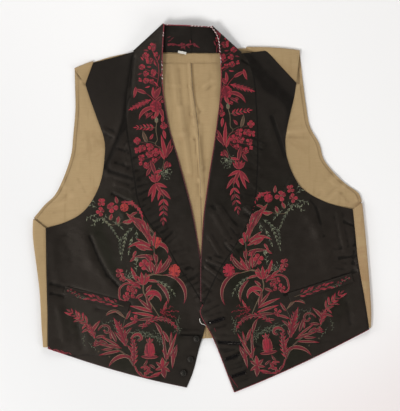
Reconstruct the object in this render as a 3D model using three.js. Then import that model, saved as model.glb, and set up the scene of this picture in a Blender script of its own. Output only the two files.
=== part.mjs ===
// A man's silk waistcoat with a shawl collar, laid open on its back.
// Millimetres. X runs across the garment, Y towards its neck, Z up from the surface that it lies on.
// "left" and "right" are the sides seen from above, with the neck away from the viewer.

import * as THREE from "three";

// Cloth
const BACK_CLOTH = 1.2;
const SILK = 1.6;
const FACING_CLOTH = 0.9;
const WELT_CLOTH = 1.2;
const TAPE = 1;
const GAP = 0.3; // between pieces at a seam, and between cloths that lie on each other
const LIE = BACK_CLOTH + GAP + SILK / 2 + 0.3; // middle of the silk's thickness where it lies on the back

// Sizes of the mesh
const ROW_STEP = 15;
const FRONT_COLUMNS = 14;
const COLLAR_COLUMNS = 6;
const BACK_COLUMNS = 10;
const BAND_ROWS = 6;
const TURN_STEPS = 4;
const CORD_SIDES = 5;

// Collar, piping, buttons and buttonholes
const CENTRE_SEAM = { neck: [-14, 234], edge: [-17, 272.3] };
const BAND_RISE = 16;
const FOLD_RADIUS = { seam: 1.2, edge: 1.8 };
const PIPING_RADIUS = 0.9;
const BUTTON_RADIUS = 5;
const BUTTON_HEIGHT = 3.6;
const OVERLAP_LIFT = SILK + GAP + 0.15; // the right front lies over the left one
const HEM_BOW = { left: 4.5, right: 4 };

const table = (columns, ...lines) =>
  lines.map((line) => Object.fromEntries(columns.map((column, i) => [column, line[i]])));

// Sections across each front, from the shoulder to where the collar ends: the front's outer edge, the
// collar seam, the collar's free edge, and how far that edge stands above the seam.
const SECTION = ["outX", "outY", "seamX", "seamY", "freeX", "freeY", "seamUp", "freeUp"];
const SECTIONS = {
  left: table(
    SECTION,
    [-163, 219, -102, 235.5, -57.5, 274.6, 3.4, 13],
    [-175, 187, -107, 211, -60, 231, 1.5, 8],
    [-168, 165, -111, 188, -60, 189, 0.5, 3.5],
    [-158, 137, -114, 157, -56.7, 157, 0, 1.5],
    [-147, 105, -112.5, 118, -49.7, 120, 0, 0.6],
    [-146, 80, -107, 84, -38.7, 82, 0, 0.4],
    [-151, 45, -101, 45, -27.5, 42, 0, 0.4],
    [-163, 16, -96, 14, -17.5, 4, 0, 0.4],
    [-180, -6, -84, -13, -10.5, -30, 0, 0.3],
    [-205, -20, -69, -32, -6, -58, 0, 0.2],
    [-234, -29, -53, -54, -3, -76, 0, 0],
    [-233.5, -60, -34.5, -87, 0.2, -98, 0, 0],
    [-233, -95, -18, -110, 2.5, -117, 0, 0],
    [-232, -132, 1.5, -141.5, 4.8, -139.5, 0, 0],
  ),
  right: table(
    SECTION,
    [97, 237, 58.5, 233, 15, 271, 3.4, 13],
    [119, 213, 64, 228.5, 21, 263, 2.4, 11.5],
    [141.5, 189, 69, 222, 25.5, 252, 1.5, 9],
    [139, 172, 74.5, 208, 28.3, 226, 0.8, 6],
    [136, 158, 78.5, 191, 29.7, 198, 0.4, 3.5],
    [131.5, 140, 81, 161, 28.2, 168, 0, 1.5],
    [127, 118, 83, 122, 24.4, 135, 0, 0.6],
    [125, 98, 83.5, 90, 19.2, 97, 0, 0.4],
    [128, 75, 83, 55, 12.4, 55, 0, 0.4],
    [138, 49, 80.5, 20, 7.4, 20, 0, 0.4],
    [153.6, 28, 75, -5, 3.6, -9, 0, 0.3],
    [187.5, 9.5, 61, -36, 1.5, -40, 0, 0.2],
    [226, -0.7, 43, -65.5, 0, -66, 0, 0],
    [229.5, -35, 27, -90, -1.2, -88, 0, 0],
    [233, -72, 12.8, -119, -1.2, -114, 0, 0],
    [238.5, -107, 2.5, -142, -1, -139, 0, 0],
  ),
};

// Sections across the skirt of each front, below the collar: its side seam and its front edge.
const SKIRT = ["outX", "outY", "seamX", "seamY"];
const SKIRTS = {
  left: table(
    SKIRT,
    [-231.3, -155, 5.4, -166],
    [-231.3, -174, 2.3, -186],
    [-231.3, -189, -4.8, -210],
    [-231.3, -200, -12.8, -242],
    [-231.2, -208.7, -22.8, -267.4],
  ),
  right: table(
    SKIRT,
    [241.5, -123, -2, -155],
    [243.8, -137, 5, -171],
    [245.8, -149, 15, -188.5],
    [247.5, -160, 25.5, -213],
    [249.2, -171, 38, -245.5],
    [250.5, -180, 49, -274.5],
  ),
};

// The rows of the fronts' tables where an edge turns sharply.
const CORNERS = {
  left: { out: [1, 10], seam: [13] },
  right: { out: [2, 12], seam: [15] },
};

// Sections across each half of the back: the height of its centre seam, and its outer edge.
const BACK = ["centreY", "outX", "outY"];
const BACKS = {
  left: table(
    BACK,
    [234, -191, 209],
    [210, -190.5, 184],
    [175, -190, 150],
    [140, -193.5, 107],
    [110, -196.5, 81],
    [75, -206.5, 50],
    [40, -220, 22],
    [15, -237, 5],
    [-10, -253.5, -15],
    [-50, -253.6, -43],
    [-95, -247.6, -91],
    [-140, -243.3, -129],
    [-170, -240.7, -177],
    [-194.5, -238.4, -207.7],
  ),
  right: table(
    BACK,
    [234, 146.7, 236],
    [212, 148.3, 219],
    [182, 151.8, 188],
    [150, 156, 157],
    [120, 162, 124],
    [95, 176, 98],
    [72, 183, 74],
    [48, 200, 52],
    [25, 217, 36.4],
    [5, 234.5, 24],
    [-15, 240.6, 9],
    [-70, 246.2, -48],
    [-120, 251, -105.5],
    [-165, 253.9, -153.5],
    [-194.5, 253.3, -178.5],
  ),
};
const ARMHOLE_END = { left: 8, right: 10 };
const SHOULDER_BOW = { left: 13, right: 6 };
const SHOULDER_TURN = { left: { from: -163, seamFrom: 0.1 }, right: { from: 66, seamFrom: 0.19 } };
const CENTRE_LINE = { x: -1.1, slope: -0.0365, bend: -7, bendFrom: 110, bendTo: 200 };

// Soft folds of the silk and of all that lies with it, as ridges that run between two places.
const FOLD = ["fromX", "fromY", "toX", "toY", "width", "height"];
const SILK_FOLDS = table(
  FOLD,
  [-250, -20, -238, -205, 26, 2.6], // turn of the left side
  [242, 5, 250, -170, 26, 2.6], // turn of the right side
  [100, 240, 146, 226, 16, 1], // turn of the right shoulder
  [-168, 219, -186, 208, 12, 0.9], // turn of the left shoulder
  [-75, 228, 40, 228, 24, 1.8], // over the neck facing
  [-112, 155, -124, 104, 9, 2.6], // from the left collar towards the armhole
  [-124, 104, -138, 72, 8, 2.4],
  [-139, 57, -106, 48, 7, 1.6],
  [-171, -30, -157, -84, 11, 2.6], // below the left armhole
  [-157, -84, -126, -122, 10, 2],
  [-96, 12, -118, -8, 7, 1.4], // puckers along the left collar seam
  [-62, -42, -84, -70, 7, 1.4],
  [-32, -92, -50, -124, 7, 1.4],
  [62, 226, 96, 205, 10, 2.4], // from the right collar to the armhole
  [96, 205, 126, 170, 9, 2.6],
  [106, 135, 124, 84, 8, 2.2],
  [22, -8, 50, -54, 8, 1.6], // soft creases of the right lapel
  [70, 0, 96, -24, 7, 1.4],
  [150, 8, 176, -34, 10, 2.2], // below the right armhole
  [176, -34, 190, -90, 11, 1.8],
  [-150, -150, -40, -190, 40, 1.2], // loft of the skirts
  [60, -170, 190, -140, 40, 1.2],
);
const BACK_FOLDS = table(
  FOLD,
  [-13, 129, -5.5, 43, 5, 1.1], // pleats inside the neck
  [-35, 172, -20, 60, 6, 0.9],
  [8, 180, 4, 70, 6, 0.9],
  [130, 115, 153, 117, 6, 1.1], // creases beside the armholes
  [182, 28, 204, 50, 6, 1.1],
  [-196, 20, -214, 44, 6, 0.9],
);

const WELTS = table(
  ["name", "fromX", "fromY", "toX", "toY", "width"],
  ["welt_left", -206.5, -122, -109, -147.5, 13.5],
  ["welt_right", 130.5, -133.5, 226, -103, 14],
);
const BUTTONS = table(["x", "y"], [-8.5, -195], [-17.5, -226], [-28, -246.5]);
const BUTTONHOLES = table(
  ["fromX", "fromY", "toX", "toY"],
  [10.5, -171, 32.5, -164],
  [24.5, -200, 58.5, -202],
  [36, -226, 54, -219.5],
  [45, -252, 64.5, -245.5],
);

const LOOKS = {
  back: { color: "#af966e", roughness: 0.9 },
  silk: { color: "#2d2623", roughness: 0.55 },
  piping: { color: "#8c1f33", roughness: 0.6 },
  tape: { color: "#e8e2d6", roughness: 0.9 },
};

const smooth = (from, to, x) => THREE.MathUtils.smoothstep(x, from, to);
const mix = THREE.MathUtils.lerp;
const between = (a, b, t) => [mix(a[0], b[0], t), mix(a[1], b[1], t)];
const distance = (a, b) => Math.hypot(b[0] - a[0], b[1] - a[1]);
const last = (list) => list[list.length - 1];

// Height at (x, y) that a table of folds adds.
function rise(folds, x, y) {
  let height = 0;
  for (const fold of folds) {
    const alongX = fold.toX - fold.fromX;
    const alongY = fold.toY - fold.fromY;
    const share = ((x - fold.fromX) * alongX + (y - fold.fromY) * alongY) / (alongX ** 2 + alongY ** 2);
    const t = THREE.MathUtils.clamp(share, 0, 1);
    const away = Math.hypot(x - fold.fromX - t * alongX, y - fold.fromY - t * alongY);
    height += fold.height * Math.exp(-((away / fold.width) ** 2));
  }
  return height;
}

const backRise = (x, y) => rise(BACK_FOLDS, x, y);

// The back's hem is straight. Past it the fronts come down to the surface.
function pastHem(x, y) {
  const left = last(BACKS.left);
  const right = last(BACKS.right);
  return mix(left.outY, right.outY, (x - left.outX) / (right.outX - left.outX)) - y;
}

// Middle of the silk's thickness where it lies at (x, y).
function lie(x, y) {
  const down = (LIE - SILK / 2) * smooth(2, 20, pastHem(x, y));
  return LIE - down + backRise(x, y) + rise(SILK_FOLDS, x, y);
}

// The right front climbs over the left one between where the collars meet and where the edges part.
function rightLift(x, y) {
  const across = 1 - smooth(14, 60, x);
  const along = (1 - smooth(-48, -8, y)) * smooth(-200, -176, y);
  return OVERLAP_LIFT * across * along;
}

const lieRight = (x, y) => lie(x, y) + rightLift(x, y);

// A curve through points that turns sharply at the given corners.
function through(points, corners = []) {
  return (u) => {
    const i = Math.min(Math.floor(u), points.length - 2);
    const t = u - i;
    const b = points[i];
    const c = points[i + 1];
    const a = i === 0 || corners.includes(i) ? b.map((v, k) => 2 * v - c[k]) : points[i - 1];
    const open = i + 2 === points.length || corners.includes(i + 1);
    const d = open ? c.map((v, k) => 2 * v - b[k]) : points[i + 2];
    return b.map((v, k) => {
      const slopeB = (c[k] - a[k]) / 2;
      const slopeC = (d[k] - v) / 2;
      const cubic = 2 * v - 2 * c[k] + slopeB + slopeC;
      const square = 3 * c[k] - 3 * v - 2 * slopeB - slopeC;
      return v + t * (slopeB + t * (square + t * cubic));
    });
  };
}

// Places along a table's rows, about one step apart where the rows are furthest apart.
function stations(...edges) {
  const found = [];
  for (let i = 0; i + 1 < edges[0].length; i++) {
    const longest = Math.max(...edges.map((edge) => distance(edge[i], edge[i + 1])));
    const parts = Math.max(1, Math.round(longest / ROW_STEP));
    for (let k = 0; k < parts; k++) {
      found.push(i + k / parts);
    }
  }
  return [...found, edges[0].length - 1];
}

// An open line moved sideways, to the left of its own direction when the distance is positive.
function offset(line, by) {
  return line.map((point, i) => {
    const before = line[Math.max(i - 1, 0)];
    const after = line[Math.min(i + 1, line.length - 1)];
    const a = [point[0] - before[0], point[1] - before[1]];
    const b = [after[0] - point[0], after[1] - point[1]];
    const unitA = i === 0 ? null : a.map((v) => v / Math.hypot(...a));
    const unitB = i === line.length - 1 ? unitA : b.map((v) => v / Math.hypot(...b));
    const start = unitA ?? unitB;
    const sum = [start[0] + unitB[0], start[1] + unitB[1]];
    const scale = (2 * by) / (sum[0] ** 2 + sum[1] ** 2);
    return [point[0] - sum[1] * scale, point[1] + sum[0] * scale];
  });
}

function mesh(name, positions, triangles, look) {
  let volume = 0;
  for (const triangle of triangles) {
    const [a, b, c] = triangle.map((i) => positions[i]);
    volume += a[0] * (b[1] * c[2] - b[2] * c[1]) - a[1] * (b[0] * c[2] - b[2] * c[0]);
    volume += a[2] * (b[0] * c[1] - b[1] * c[0]);
  }
  const outward = volume > 0 ? triangles : triangles.map(([i, j, k]) => [i, k, j]);
  const geometry = new THREE.BufferGeometry();
  geometry.setAttribute("position", new THREE.Float32BufferAttribute(positions.flat(), 3));
  geometry.setIndex(outward.flat());
  geometry.computeVertexNormals();
  const made = new THREE.Mesh(geometry, new THREE.MeshStandardMaterial({ metalness: 0, ...LOOKS[look] }));
  made.name = name;
  return made;
}

// Closed cloth over a grid of {at, normal, over, under}: the middle of the cloth, its normal, and the
// thickness on each side. A place that the cloth doesn't reach is null.
function cloth(name, grid, look) {
  const positions = [];
  const numbers = grid.map((row) =>
    row.map((place) => {
      if (!place) {
        return -1;
      }
      const { at, normal, over, under } = place;
      positions.push(at.map((v, k) => v + normal[k] * over));
      positions.push(at.map((v, k) => v - normal[k] * under));
      return positions.length / 2 - 1;
    }),
  );
  const triangles = [];
  const edges = new Map();
  for (let i = 0; i + 1 < numbers.length; i++) {
    for (let j = 0; j + 1 < numbers[i].length; j++) {
      const cell = [numbers[i][j], numbers[i + 1][j], numbers[i + 1][j + 1], numbers[i][j + 1]];
      if (cell.includes(-1)) {
        continue;
      }
      const [a, b, c, d] = cell.map((n) => 2 * n);
      triangles.push([a, b, c], [a, c, d], [a + 1, c + 1, b + 1], [a + 1, d + 1, c + 1]);
      cell.forEach((from, k) => edges.set(`${from},${cell[(k + 1) % 4]}`, [from, cell[(k + 1) % 4]]));
    }
  }
  for (const [from, to] of edges.values()) {
    if (!edges.has(`${to},${from}`)) {
      const [a, b] = [2 * from, 2 * to];
      triangles.push([a + 1, b + 1, b], [a + 1, b, a]);
    }
  }
  return mesh(name, positions, triangles, look);
}

const UP = [0, 0, 1];
const lying = (x, y, z, thickness) => ({ at: [x, y, z], normal: UP, over: thickness / 2, under: thickness / 2 });

// A place on cloth that turns over an edge: angle 0 is the lower layer and PI the upper one.
function turned(edge, away, low, radius, angle, thickness) {
  const out = radius * Math.sin(angle);
  return {
    at: [edge[0] + away[0] * out, edge[1] + away[1] * out, low + radius * (1 - Math.cos(angle))],
    normal: [away[0] * Math.sin(angle), away[1] * Math.sin(angle), -Math.cos(angle)],
    over: thickness / 2,
    under: thickness / 2,
  };
}

// Unit directions square to a line, on its left.
function sideways(line) {
  const moved = offset(line, 1);
  return line.map((point, i) => {
    const d = [moved[i][0] - point[0], moved[i][1] - point[1]];
    return d.map((v) => v / Math.hypot(...d));
  });
}

// The sampled edges of one front and its half of the collar.
function frontEdges(side) {
  const sections = SECTIONS[side];
  const skirt = SKIRTS[side];
  const pick = (rows, edge) => rows.map((row) => [row[`${edge}X`], row[`${edge}Y`]]);
  const outPoints = [...pick(sections, "out"), ...pick(skirt, "out")];
  const seamPoints = [...pick(sections, "seam"), ...pick(skirt, "seam")];
  const freePoints = pick(sections, "free");
  const outCurve = through(outPoints, CORNERS[side].out);
  const seamCurve = through(seamPoints, CORNERS[side].seam);
  const freeCurve = through(freePoints);
  const upCurve = through(sections.map((row) => [row.seamUp, row.freeUp]));
  const us = stations(outPoints, seamPoints);
  const collarUs = us.filter((u) => u <= sections.length - 1);
  return {
    out: us.map(outCurve),
    seam: us.map(seamCurve),
    free: collarUs.map(freeCurve),
    up: collarUs.map(upCurve),
    collarRows: collarUs.length,
    corner: us.indexOf(CORNERS[side].out[0]),
    sideFrom: us.indexOf(CORNERS[side].out[1]),
  };
}

const EDGES = { left: frontEdges("left"), right: frontEdges("right") };
const TOWARDS_EDGE = { left: 1, right: -1 };
const LEVEL = { left: lie, right: lieRight };

// Extra height of the front beside the collar seam, which the collar shares.
function seamLift(side, i) {
  const { up } = EDGES[side];
  return i < up.length ? Math.max(up[i][0], 0) : 0;
}

function frontGrid(side) {
  const { out, seam } = EDGES[side];
  const inner = offset(seam, TOWARDS_EDGE[side] * GAP * -0.7);
  return inner.map((edge, i) => {
    const bow = HEM_BOW[side] * (i / (inner.length - 1)) ** 8;
    const row = [];
    for (let j = 0; j <= FRONT_COLUMNS; j++) {
      const t = j / FRONT_COLUMNS;
      const [x, y] = between(edge, out[i], t);
      const lower = y - bow * 4 * t * (1 - t);
      const lift = seamLift(side, i) * (1 - smooth(0, 0.35, t));
      row.push(lying(x, lower, LEVEL[side](x, lower) + lift, SILK));
    }
    return row;
  });
}

// Half of the collar: its lapel, the fold beside the neck, and the band up to the centre-back seam.
function collarGrid(side) {
  const { seam, free, up, collarRows } = EDGES[side];
  const edge = offset(seam, (TOWARDS_EDGE[side] * GAP) / 2);
  const grid = [];
  const row = (at) => {
    const places = [];
    for (let j = 0; j <= COLLAR_COLUMNS; j++) {
      places.push(at(j / COLLAR_COLUMNS));
    }
    return places;
  };
  for (let i = collarRows - 1; i >= 0; i--) {
    grid.push(
      row((t) => {
        const [x, y] = between(edge[i], free[i], t);
        const lift = mix(Math.max(up[i][0], 0), Math.max(up[i][1], 0), t ** 1.5);
        return lying(x, y, LEVEL[side](x, y) + lift, SILK);
      }),
    );
  }
  const top = last(grid);
  const along = [free[0][0] - edge[0][0], free[0][1] - edge[0][1]];
  const away = [-along[1], along[0]].map((v) => (TOWARDS_EDGE[side] * v) / Math.hypot(...along));
  for (let k = TURN_STEPS - 1; k >= 0; k--) {
    const angle = (k / TURN_STEPS) * Math.PI;
    grid.push(
      top.map(({ at }, j) => {
        const radius = mix(FOLD_RADIUS.seam, FOLD_RADIUS.edge, j / COLLAR_COLUMNS);
        return turned(at, away, at[2] - 2 * radius, radius, angle, SILK);
      }),
    );
  }
  const low = last(grid);
  const stop = (TOWARDS_EDGE[side] * -GAP) / 2;
  for (let k = 1; k <= BAND_ROWS; k++) {
    const s = k / BAND_ROWS;
    grid.push(
      low.map((place, j) => {
        const t = j / COLLAR_COLUMNS;
        const centre = between(CENTRE_SEAM.neck, CENTRE_SEAM.edge, t);
        const [x, y] = between(place.at, [centre[0] + stop, centre[1]], s);
        const z = mix(place.at[2], LIE + BAND_RISE * t ** 1.3, smooth(0, 1, s));
        return { ...place, at: [x, y, z], normal: [0, 0, -1] };
      }),
    );
  }
  return grid;
}

const FRONTS = { left: frontGrid("left"), right: frontGrid("right") };
const COLLARS = { left: collarGrid("left"), right: collarGrid("right") };

// The piping's route past a cloth's edge: each row is a place inside the cloth and one on its edge.
function pipingRoute(rows) {
  const vectors = rows.map((row) => row.map(({ at }) => new THREE.Vector3(...at)));
  return vectors.map(([inside, edge], i) => {
    const before = edge.clone().sub(vectors[Math.max(i - 1, 0)][1]).normalize();
    const after = vectors[Math.min(i + 1, rows.length - 1)][1].clone().sub(edge).normalize();
    const run = before.clone().add(after).normalize();
    const away = edge.clone().sub(inside);
    away.addScaledVector(run, -away.dot(run)).normalize();
    const turn = i === 0 || i === rows.length - 1 ? 1 : Math.max(0.5, run.dot(after));
    return edge.clone().addScaledVector(away, (PIPING_RADIUS + GAP) / turn);
  });
}

// A round cord through points, with flat ends.
function cord(name, points, radius, look) {
  const positions = [];
  const triangles = [];
  let across = new THREE.Vector3(0, 0, 1);
  points.forEach((point, i) => {
    const before = points[Math.max(i - 1, 0)];
    const after = points[Math.min(i + 1, points.length - 1)];
    const along = after.clone().sub(before).normalize();
    across = across.addScaledVector(along, -across.dot(along)).normalize();
    const upwards = along.clone().cross(across);
    for (let k = 0; k < CORD_SIDES; k++) {
      const angle = (k / CORD_SIDES) * 2 * Math.PI;
      const at = point.clone().addScaledVector(across, radius * Math.cos(angle));
      positions.push(at.addScaledVector(upwards, radius * Math.sin(angle)).toArray());
      if (i > 0) {
        const [a, b] = [(i - 1) * CORD_SIDES + k, (i - 1) * CORD_SIDES + ((k + 1) % CORD_SIDES)];
        triangles.push([a, b, b + CORD_SIDES], [a, b + CORD_SIDES, a + CORD_SIDES]);
      }
    }
  });
  const end = (points.length - 1) * CORD_SIDES;
  for (let k = 1; k + 1 < CORD_SIDES; k++) {
    triangles.push([0, k + 1, k], [end, end + k, end + k + 1]);
  }
  return mesh(name, positions, triangles, look);
}

function centreX(y) {
  const { x, slope, bend, bendFrom, bendTo } = CENTRE_LINE;
  return x + slope * y + bend * smooth(bendFrom, bendTo, y);
}

// The point that a share of a line's length reaches.
function along(line, share) {
  const lengths = line.slice(1).map((point, i) => distance(line[i], point));
  let left = share * lengths.reduce((a, b) => a + b, 0);
  for (let i = 0; i < lengths.length; i++) {
    if (left <= lengths[i] || i === lengths.length - 1) {
      return between(line[i], line[i + 1], Math.min(1, left / lengths[i]));
    }
    left -= lengths[i];
  }
  return last(line);
}

// Where a line's first bend lies, as a share of what is left of it past another share.
function bendShare(line, from) {
  const lengths = line.slice(1).map((point, i) => distance(line[i], point));
  const total = lengths.reduce((a, b) => a + b, 0);
  return (lengths[0] / total - from) / (1 - from);
}

// The point of a line at a height y, for a line that runs down the garment.
function atHeight(line, y) {
  for (let i = 0; i + 1 < line.length; i++) {
    if (y >= line[i + 1][1] || i + 2 === line.length) {
      return between(line[i], line[i + 1], (line[i][1] - y) / (line[i][1] - line[i + 1][1]));
    }
  }
  return last(line);
}

// Half of the back: the lower layer, its turn over the side to the side seam, and its turn over the
// shoulder to the shoulder seam.
function back(side) {
  const rows = BACKS[side];
  const outward = TOWARDS_EDGE[side] * -1;
  const outCurve = through(rows.map((row) => [row.outX, row.outY]), [ARMHOLE_END[side]]);
  const centreCurve = through(rows.map((row) => [row.centreY]));
  const us = stations(rows.map((row) => [row.outX, row.outY]));
  const outline = us.map(outCurve);
  const away = sideways(outline).map((d) => d.map((v) => v * outward));
  const first = us.indexOf(ARMHOLE_END[side]);
  const radiusAt = (x, y) => (lie(x, y) - BACK_CLOTH / 2) / 2;
  const low = BACK_CLOTH / 2;
  const edge = outline.map(([x, y], i) => {
    const inset = i < first ? 0 : radiusAt(x, y) + BACK_CLOTH / 2;
    return [x - away[i][0] * inset, y - away[i][1] * inset];
  });

  const { out: sideLine, seam, sideFrom, corner } = EDGES[side];
  const shoulderLine = [...(side === "right" ? [seam[0]] : []), ...sideLine.slice(0, corner + 1)];
  const shoulderSeam = offset(shoulderLine, TOWARDS_EDGE[side] * GAP * -1.3);
  const turn = SHOULDER_TURN[side];
  const width = edge[0][0] - centreX(rows[0].centreY);
  const turnFrom = (turn.from - centreX(rows[0].centreY)) / width;
  const shares = [];
  const innerColumns = Math.max(2, Math.round(BACK_COLUMNS * turnFrom));
  for (let j = 0; j < innerColumns; j++) {
    shares.push((turnFrom * j) / innerColumns);
  }
  const bend = side === "right" ? bendShare(shoulderSeam, turn.seamFrom) : 0;
  const turnShares = [...(bend ? [0, bend / 2] : []), ...[0, 0.33, 0.66, 1].map((s) => mix(bend, 1, s))];
  shares.push(...turnShares.map((s) => mix(turnFrom, 1, s)));

  const layer = (x, y) => ({ at: [x, y, low], normal: [0, 0, -1], over: low, under: low + backRise(x, y) });
  const grid = edge.map((end, i) => {
    const y0 = centreCurve(us[i])[0];
    const centre = [centreX(y0) + (outward * GAP) / 2, y0];
    const bow = SHOULDER_BOW[side] * (1 - smooth(0, 60, rows[0].centreY - y0));
    return shares.map((t) => {
      const [x, y] = between(centre, end, t);
      return layer(x, y + bow * 4 * t * (1 - t));
    });
  });

  const seamLine = offset(sideLine.slice(sideFrom), TOWARDS_EDGE[side] * GAP * -1.3);
  grid.forEach((row, i) => {
    for (let k = 1; k <= TURN_STEPS + 2; k++) {
      if (i < first) {
        row.push(null);
        continue;
      }
      const radius = radiusAt(...edge[i]);
      if (k <= TURN_STEPS) {
        row.push(turned(edge[i], away[i], low, radius, (k / TURN_STEPS) * Math.PI, BACK_CLOTH));
        continue;
      }
      const [x, y] = between(edge[i], atHeight(seamLine, edge[i][1]), (k - TURN_STEPS) / 2);
      row.push(lying(x, y, lie(x, y), BACK_CLOTH));
    }
  });

  const topEdge = grid[0].slice(0, shares.length).map((place) => place.at);
  const topAway = sideways(topEdge).map((d) => d.map((v) => v * outward));
  const turnColumn = innerColumns;
  const above = [];
  for (let k = TURN_STEPS + 1; k >= 1; k--) {
    above.push(
      grid[0].map((place, j) => {
        if (!place || j < turnColumn || j >= shares.length) {
          return null;
        }
        const [x, y] = topEdge[j];
        if (k <= TURN_STEPS) {
          return turned([x, y], topAway[j], low, radiusAt(x, y), (k / TURN_STEPS) * Math.PI, BACK_CLOTH);
        }
        const share = mix(turn.seamFrom, 1, turnShares[j - turnColumn]);
        const [seamX, seamY] = along(shoulderSeam, share);
        return lying(seamX, seamY, lie(seamX, seamY), BACK_CLOTH);
      }),
    );
  }
  return cloth(`back_${side}`, [...above, ...grid], "back");
}

// A flat strip of cloth that follows what it lies on.
function strip(name, from, to, width, thickness, level, look, columns, rows = 2) {
  const length = distance(from, to);
  const across = [-(to[1] - from[1]) / length, (to[0] - from[0]) / length];
  const grid = [];
  for (let i = 0; i <= rows; i++) {
    const shift = (i / rows - 0.5) * width;
    const row = [];
    for (let j = 0; j <= columns; j++) {
      const [x, y] = between(from, to, j / columns);
      const place = [x + across[0] * shift, y + across[1] * shift];
      row.push(lying(...place, level(...place), thickness));
    }
    grid.push(row);
  }
  return cloth(name, grid, look);
}

const model = new THREE.Group();
for (const side of ["left", "right"]) {
  model.add(back(side));
  model.add(cloth(`front_${side}`, FRONTS[side], "silk"));
  model.add(cloth(`collar_${side}`, COLLARS[side], "silk"));
}

const FACING = { fromX: -74, toX: 44, y: 226, depth: 14.5 };
model.add(
  strip(
    "neck_facing",
    [FACING.fromX, FACING.y],
    [FACING.toX, FACING.y],
    FACING.depth,
    FACING_CLOTH,
    (x, y) => BACK_CLOTH + backRise(x, y) + GAP + FACING_CLOTH / 2,
    "back",
    8,
  ),
);
for (const welt of WELTS) {
  const level = (x, y) => lie(x, y) + SILK / 2 + GAP + 0.1 + WELT_CLOTH / 2;
  model.add(
    strip(welt.name, [welt.fromX, welt.fromY], [welt.toX, welt.toY], welt.width, WELT_CLOTH, level, "silk", 9),
  );
}

const button = new THREE.LatheGeometry(
  [
    [0, 0],
    [BUTTON_RADIUS * 0.8, 0],
    [BUTTON_RADIUS, BUTTON_HEIGHT * 0.35],
    [BUTTON_RADIUS * 0.85, BUTTON_HEIGHT * 0.7],
    [BUTTON_RADIUS * 0.45, BUTTON_HEIGHT * 0.95],
    [0, BUTTON_HEIGHT],
  ].map(([r, z]) => new THREE.Vector2(r, z)),
  14,
);
BUTTONS.forEach(({ x, y }, i) => {
  const made = new THREE.Mesh(button, new THREE.MeshStandardMaterial({ metalness: 0, ...LOOKS.silk }));
  made.name = `button_${i + 1}`;
  made.rotation.x = Math.PI / 2;
  made.position.set(x, y, lie(x, y) + SILK / 2 + GAP + 0.2);
  model.add(made);
});
BUTTONHOLES.forEach(({ fromX, fromY, toX, toY }, i) => {
  const level = (x, y) => lieRight(x, y) + SILK / 2 + GAP + 0.45;
  model.add(strip(`buttonhole_${i + 1}`, [fromX, fromY], [toX, toY], 4, 0.9, level, "silk", 3));
});

for (const side of ["left", "right"]) {
  const collarEdge = COLLARS[side].map((row) => row.slice(-2));
  model.add(cord(`piping_collar_${side}`, pipingRoute(collarEdge), PIPING_RADIUS, "piping"));
  const rows = FRONTS[side];
  const above = rows[rows.length - 2];
  const hem = last(rows).map((place, j) => [above[j], place]);
  if (side === "right") {
    const edge = rows.slice(EDGES[side].collarRows, -1).map((row) => [row[1], row[0]]);
    hem.splice(0, 1, ...edge, [above[1], last(rows)[0]]);
  }
  model.add(cord(`piping_front_${side}`, pipingRoute(hem), PIPING_RADIUS, "piping"));
}

model.add(
  strip("neck_tape", [-34, 232.5], [-22, 232.5], 3.5, TAPE, () => BACK_CLOTH + 2.4 + TAPE / 2, "tape", 2, 1),
);

export default model;
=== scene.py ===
"""A man's silk waistcoat with a shawl collar, laid open on its back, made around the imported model."""

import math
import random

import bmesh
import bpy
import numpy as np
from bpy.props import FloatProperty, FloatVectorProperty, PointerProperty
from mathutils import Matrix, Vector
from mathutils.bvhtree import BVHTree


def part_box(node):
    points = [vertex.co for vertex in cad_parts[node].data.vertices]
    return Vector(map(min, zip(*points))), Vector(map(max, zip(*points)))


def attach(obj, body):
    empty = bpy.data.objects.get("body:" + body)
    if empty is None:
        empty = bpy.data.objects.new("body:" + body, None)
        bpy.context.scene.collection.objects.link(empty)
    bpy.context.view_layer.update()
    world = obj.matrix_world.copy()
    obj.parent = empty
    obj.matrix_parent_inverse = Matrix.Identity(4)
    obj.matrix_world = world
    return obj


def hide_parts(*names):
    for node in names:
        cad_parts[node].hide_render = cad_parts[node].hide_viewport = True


bl_info = {
    "name": "Silk waistcoat",
    "version": (1, 0, 0),
    "blender": (4, 5, 0),
    "location": "View3D > Sidebar > Waistcoat",
    "description": "Makes a silk waistcoat with a shawl collar and woven sprays, laid on its back",
    "category": "Add Mesh",
}

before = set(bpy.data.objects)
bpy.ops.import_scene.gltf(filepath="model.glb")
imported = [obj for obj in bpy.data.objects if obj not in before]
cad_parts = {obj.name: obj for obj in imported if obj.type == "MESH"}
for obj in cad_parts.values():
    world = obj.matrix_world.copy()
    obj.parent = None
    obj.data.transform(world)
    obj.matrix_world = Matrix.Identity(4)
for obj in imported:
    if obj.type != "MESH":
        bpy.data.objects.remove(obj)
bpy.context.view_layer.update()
BUTTON_RADIUS = (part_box("button_1")[1][0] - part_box("button_1")[0][0]) / 2

MM = 0.001  # the tables below are in millimetres

# Heights of the layers
BACK_CLOTH = 1.2
FACING_CLOTH = 0.9
WELT_CLOTH = 1.2
SILK = 1.1
GAP = 0.3
SEAM_LAP = 0.18
LIE = 2.6  # middle of the silk's thickness where it lies on the back
LOWEST_GROOVE = 0.55  # below that middle
OVERLAP_LIFT = 2.05

# Sizes of the meshes
ROW_STEP = 2.4
FRONT_COLUMNS = 96
COLLAR_COLUMNS = 36
BACK_COLUMNS = 76
BAND_ROWS = 30
TURN_STEPS = 9
EDGE_STEP = 0.006
EDGE_TAPER = 0.45
LAST_SHARE = 0.93  # share of the back's width where its edge columns begin
FLAP_SHARES = (0.25, 0.5, 0.75, 0.96, 1)  # columns from the turned edge to the side seam
ARMHOLE_HEM = 0.45  # how much thicker the armhole's turned hem is

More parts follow.
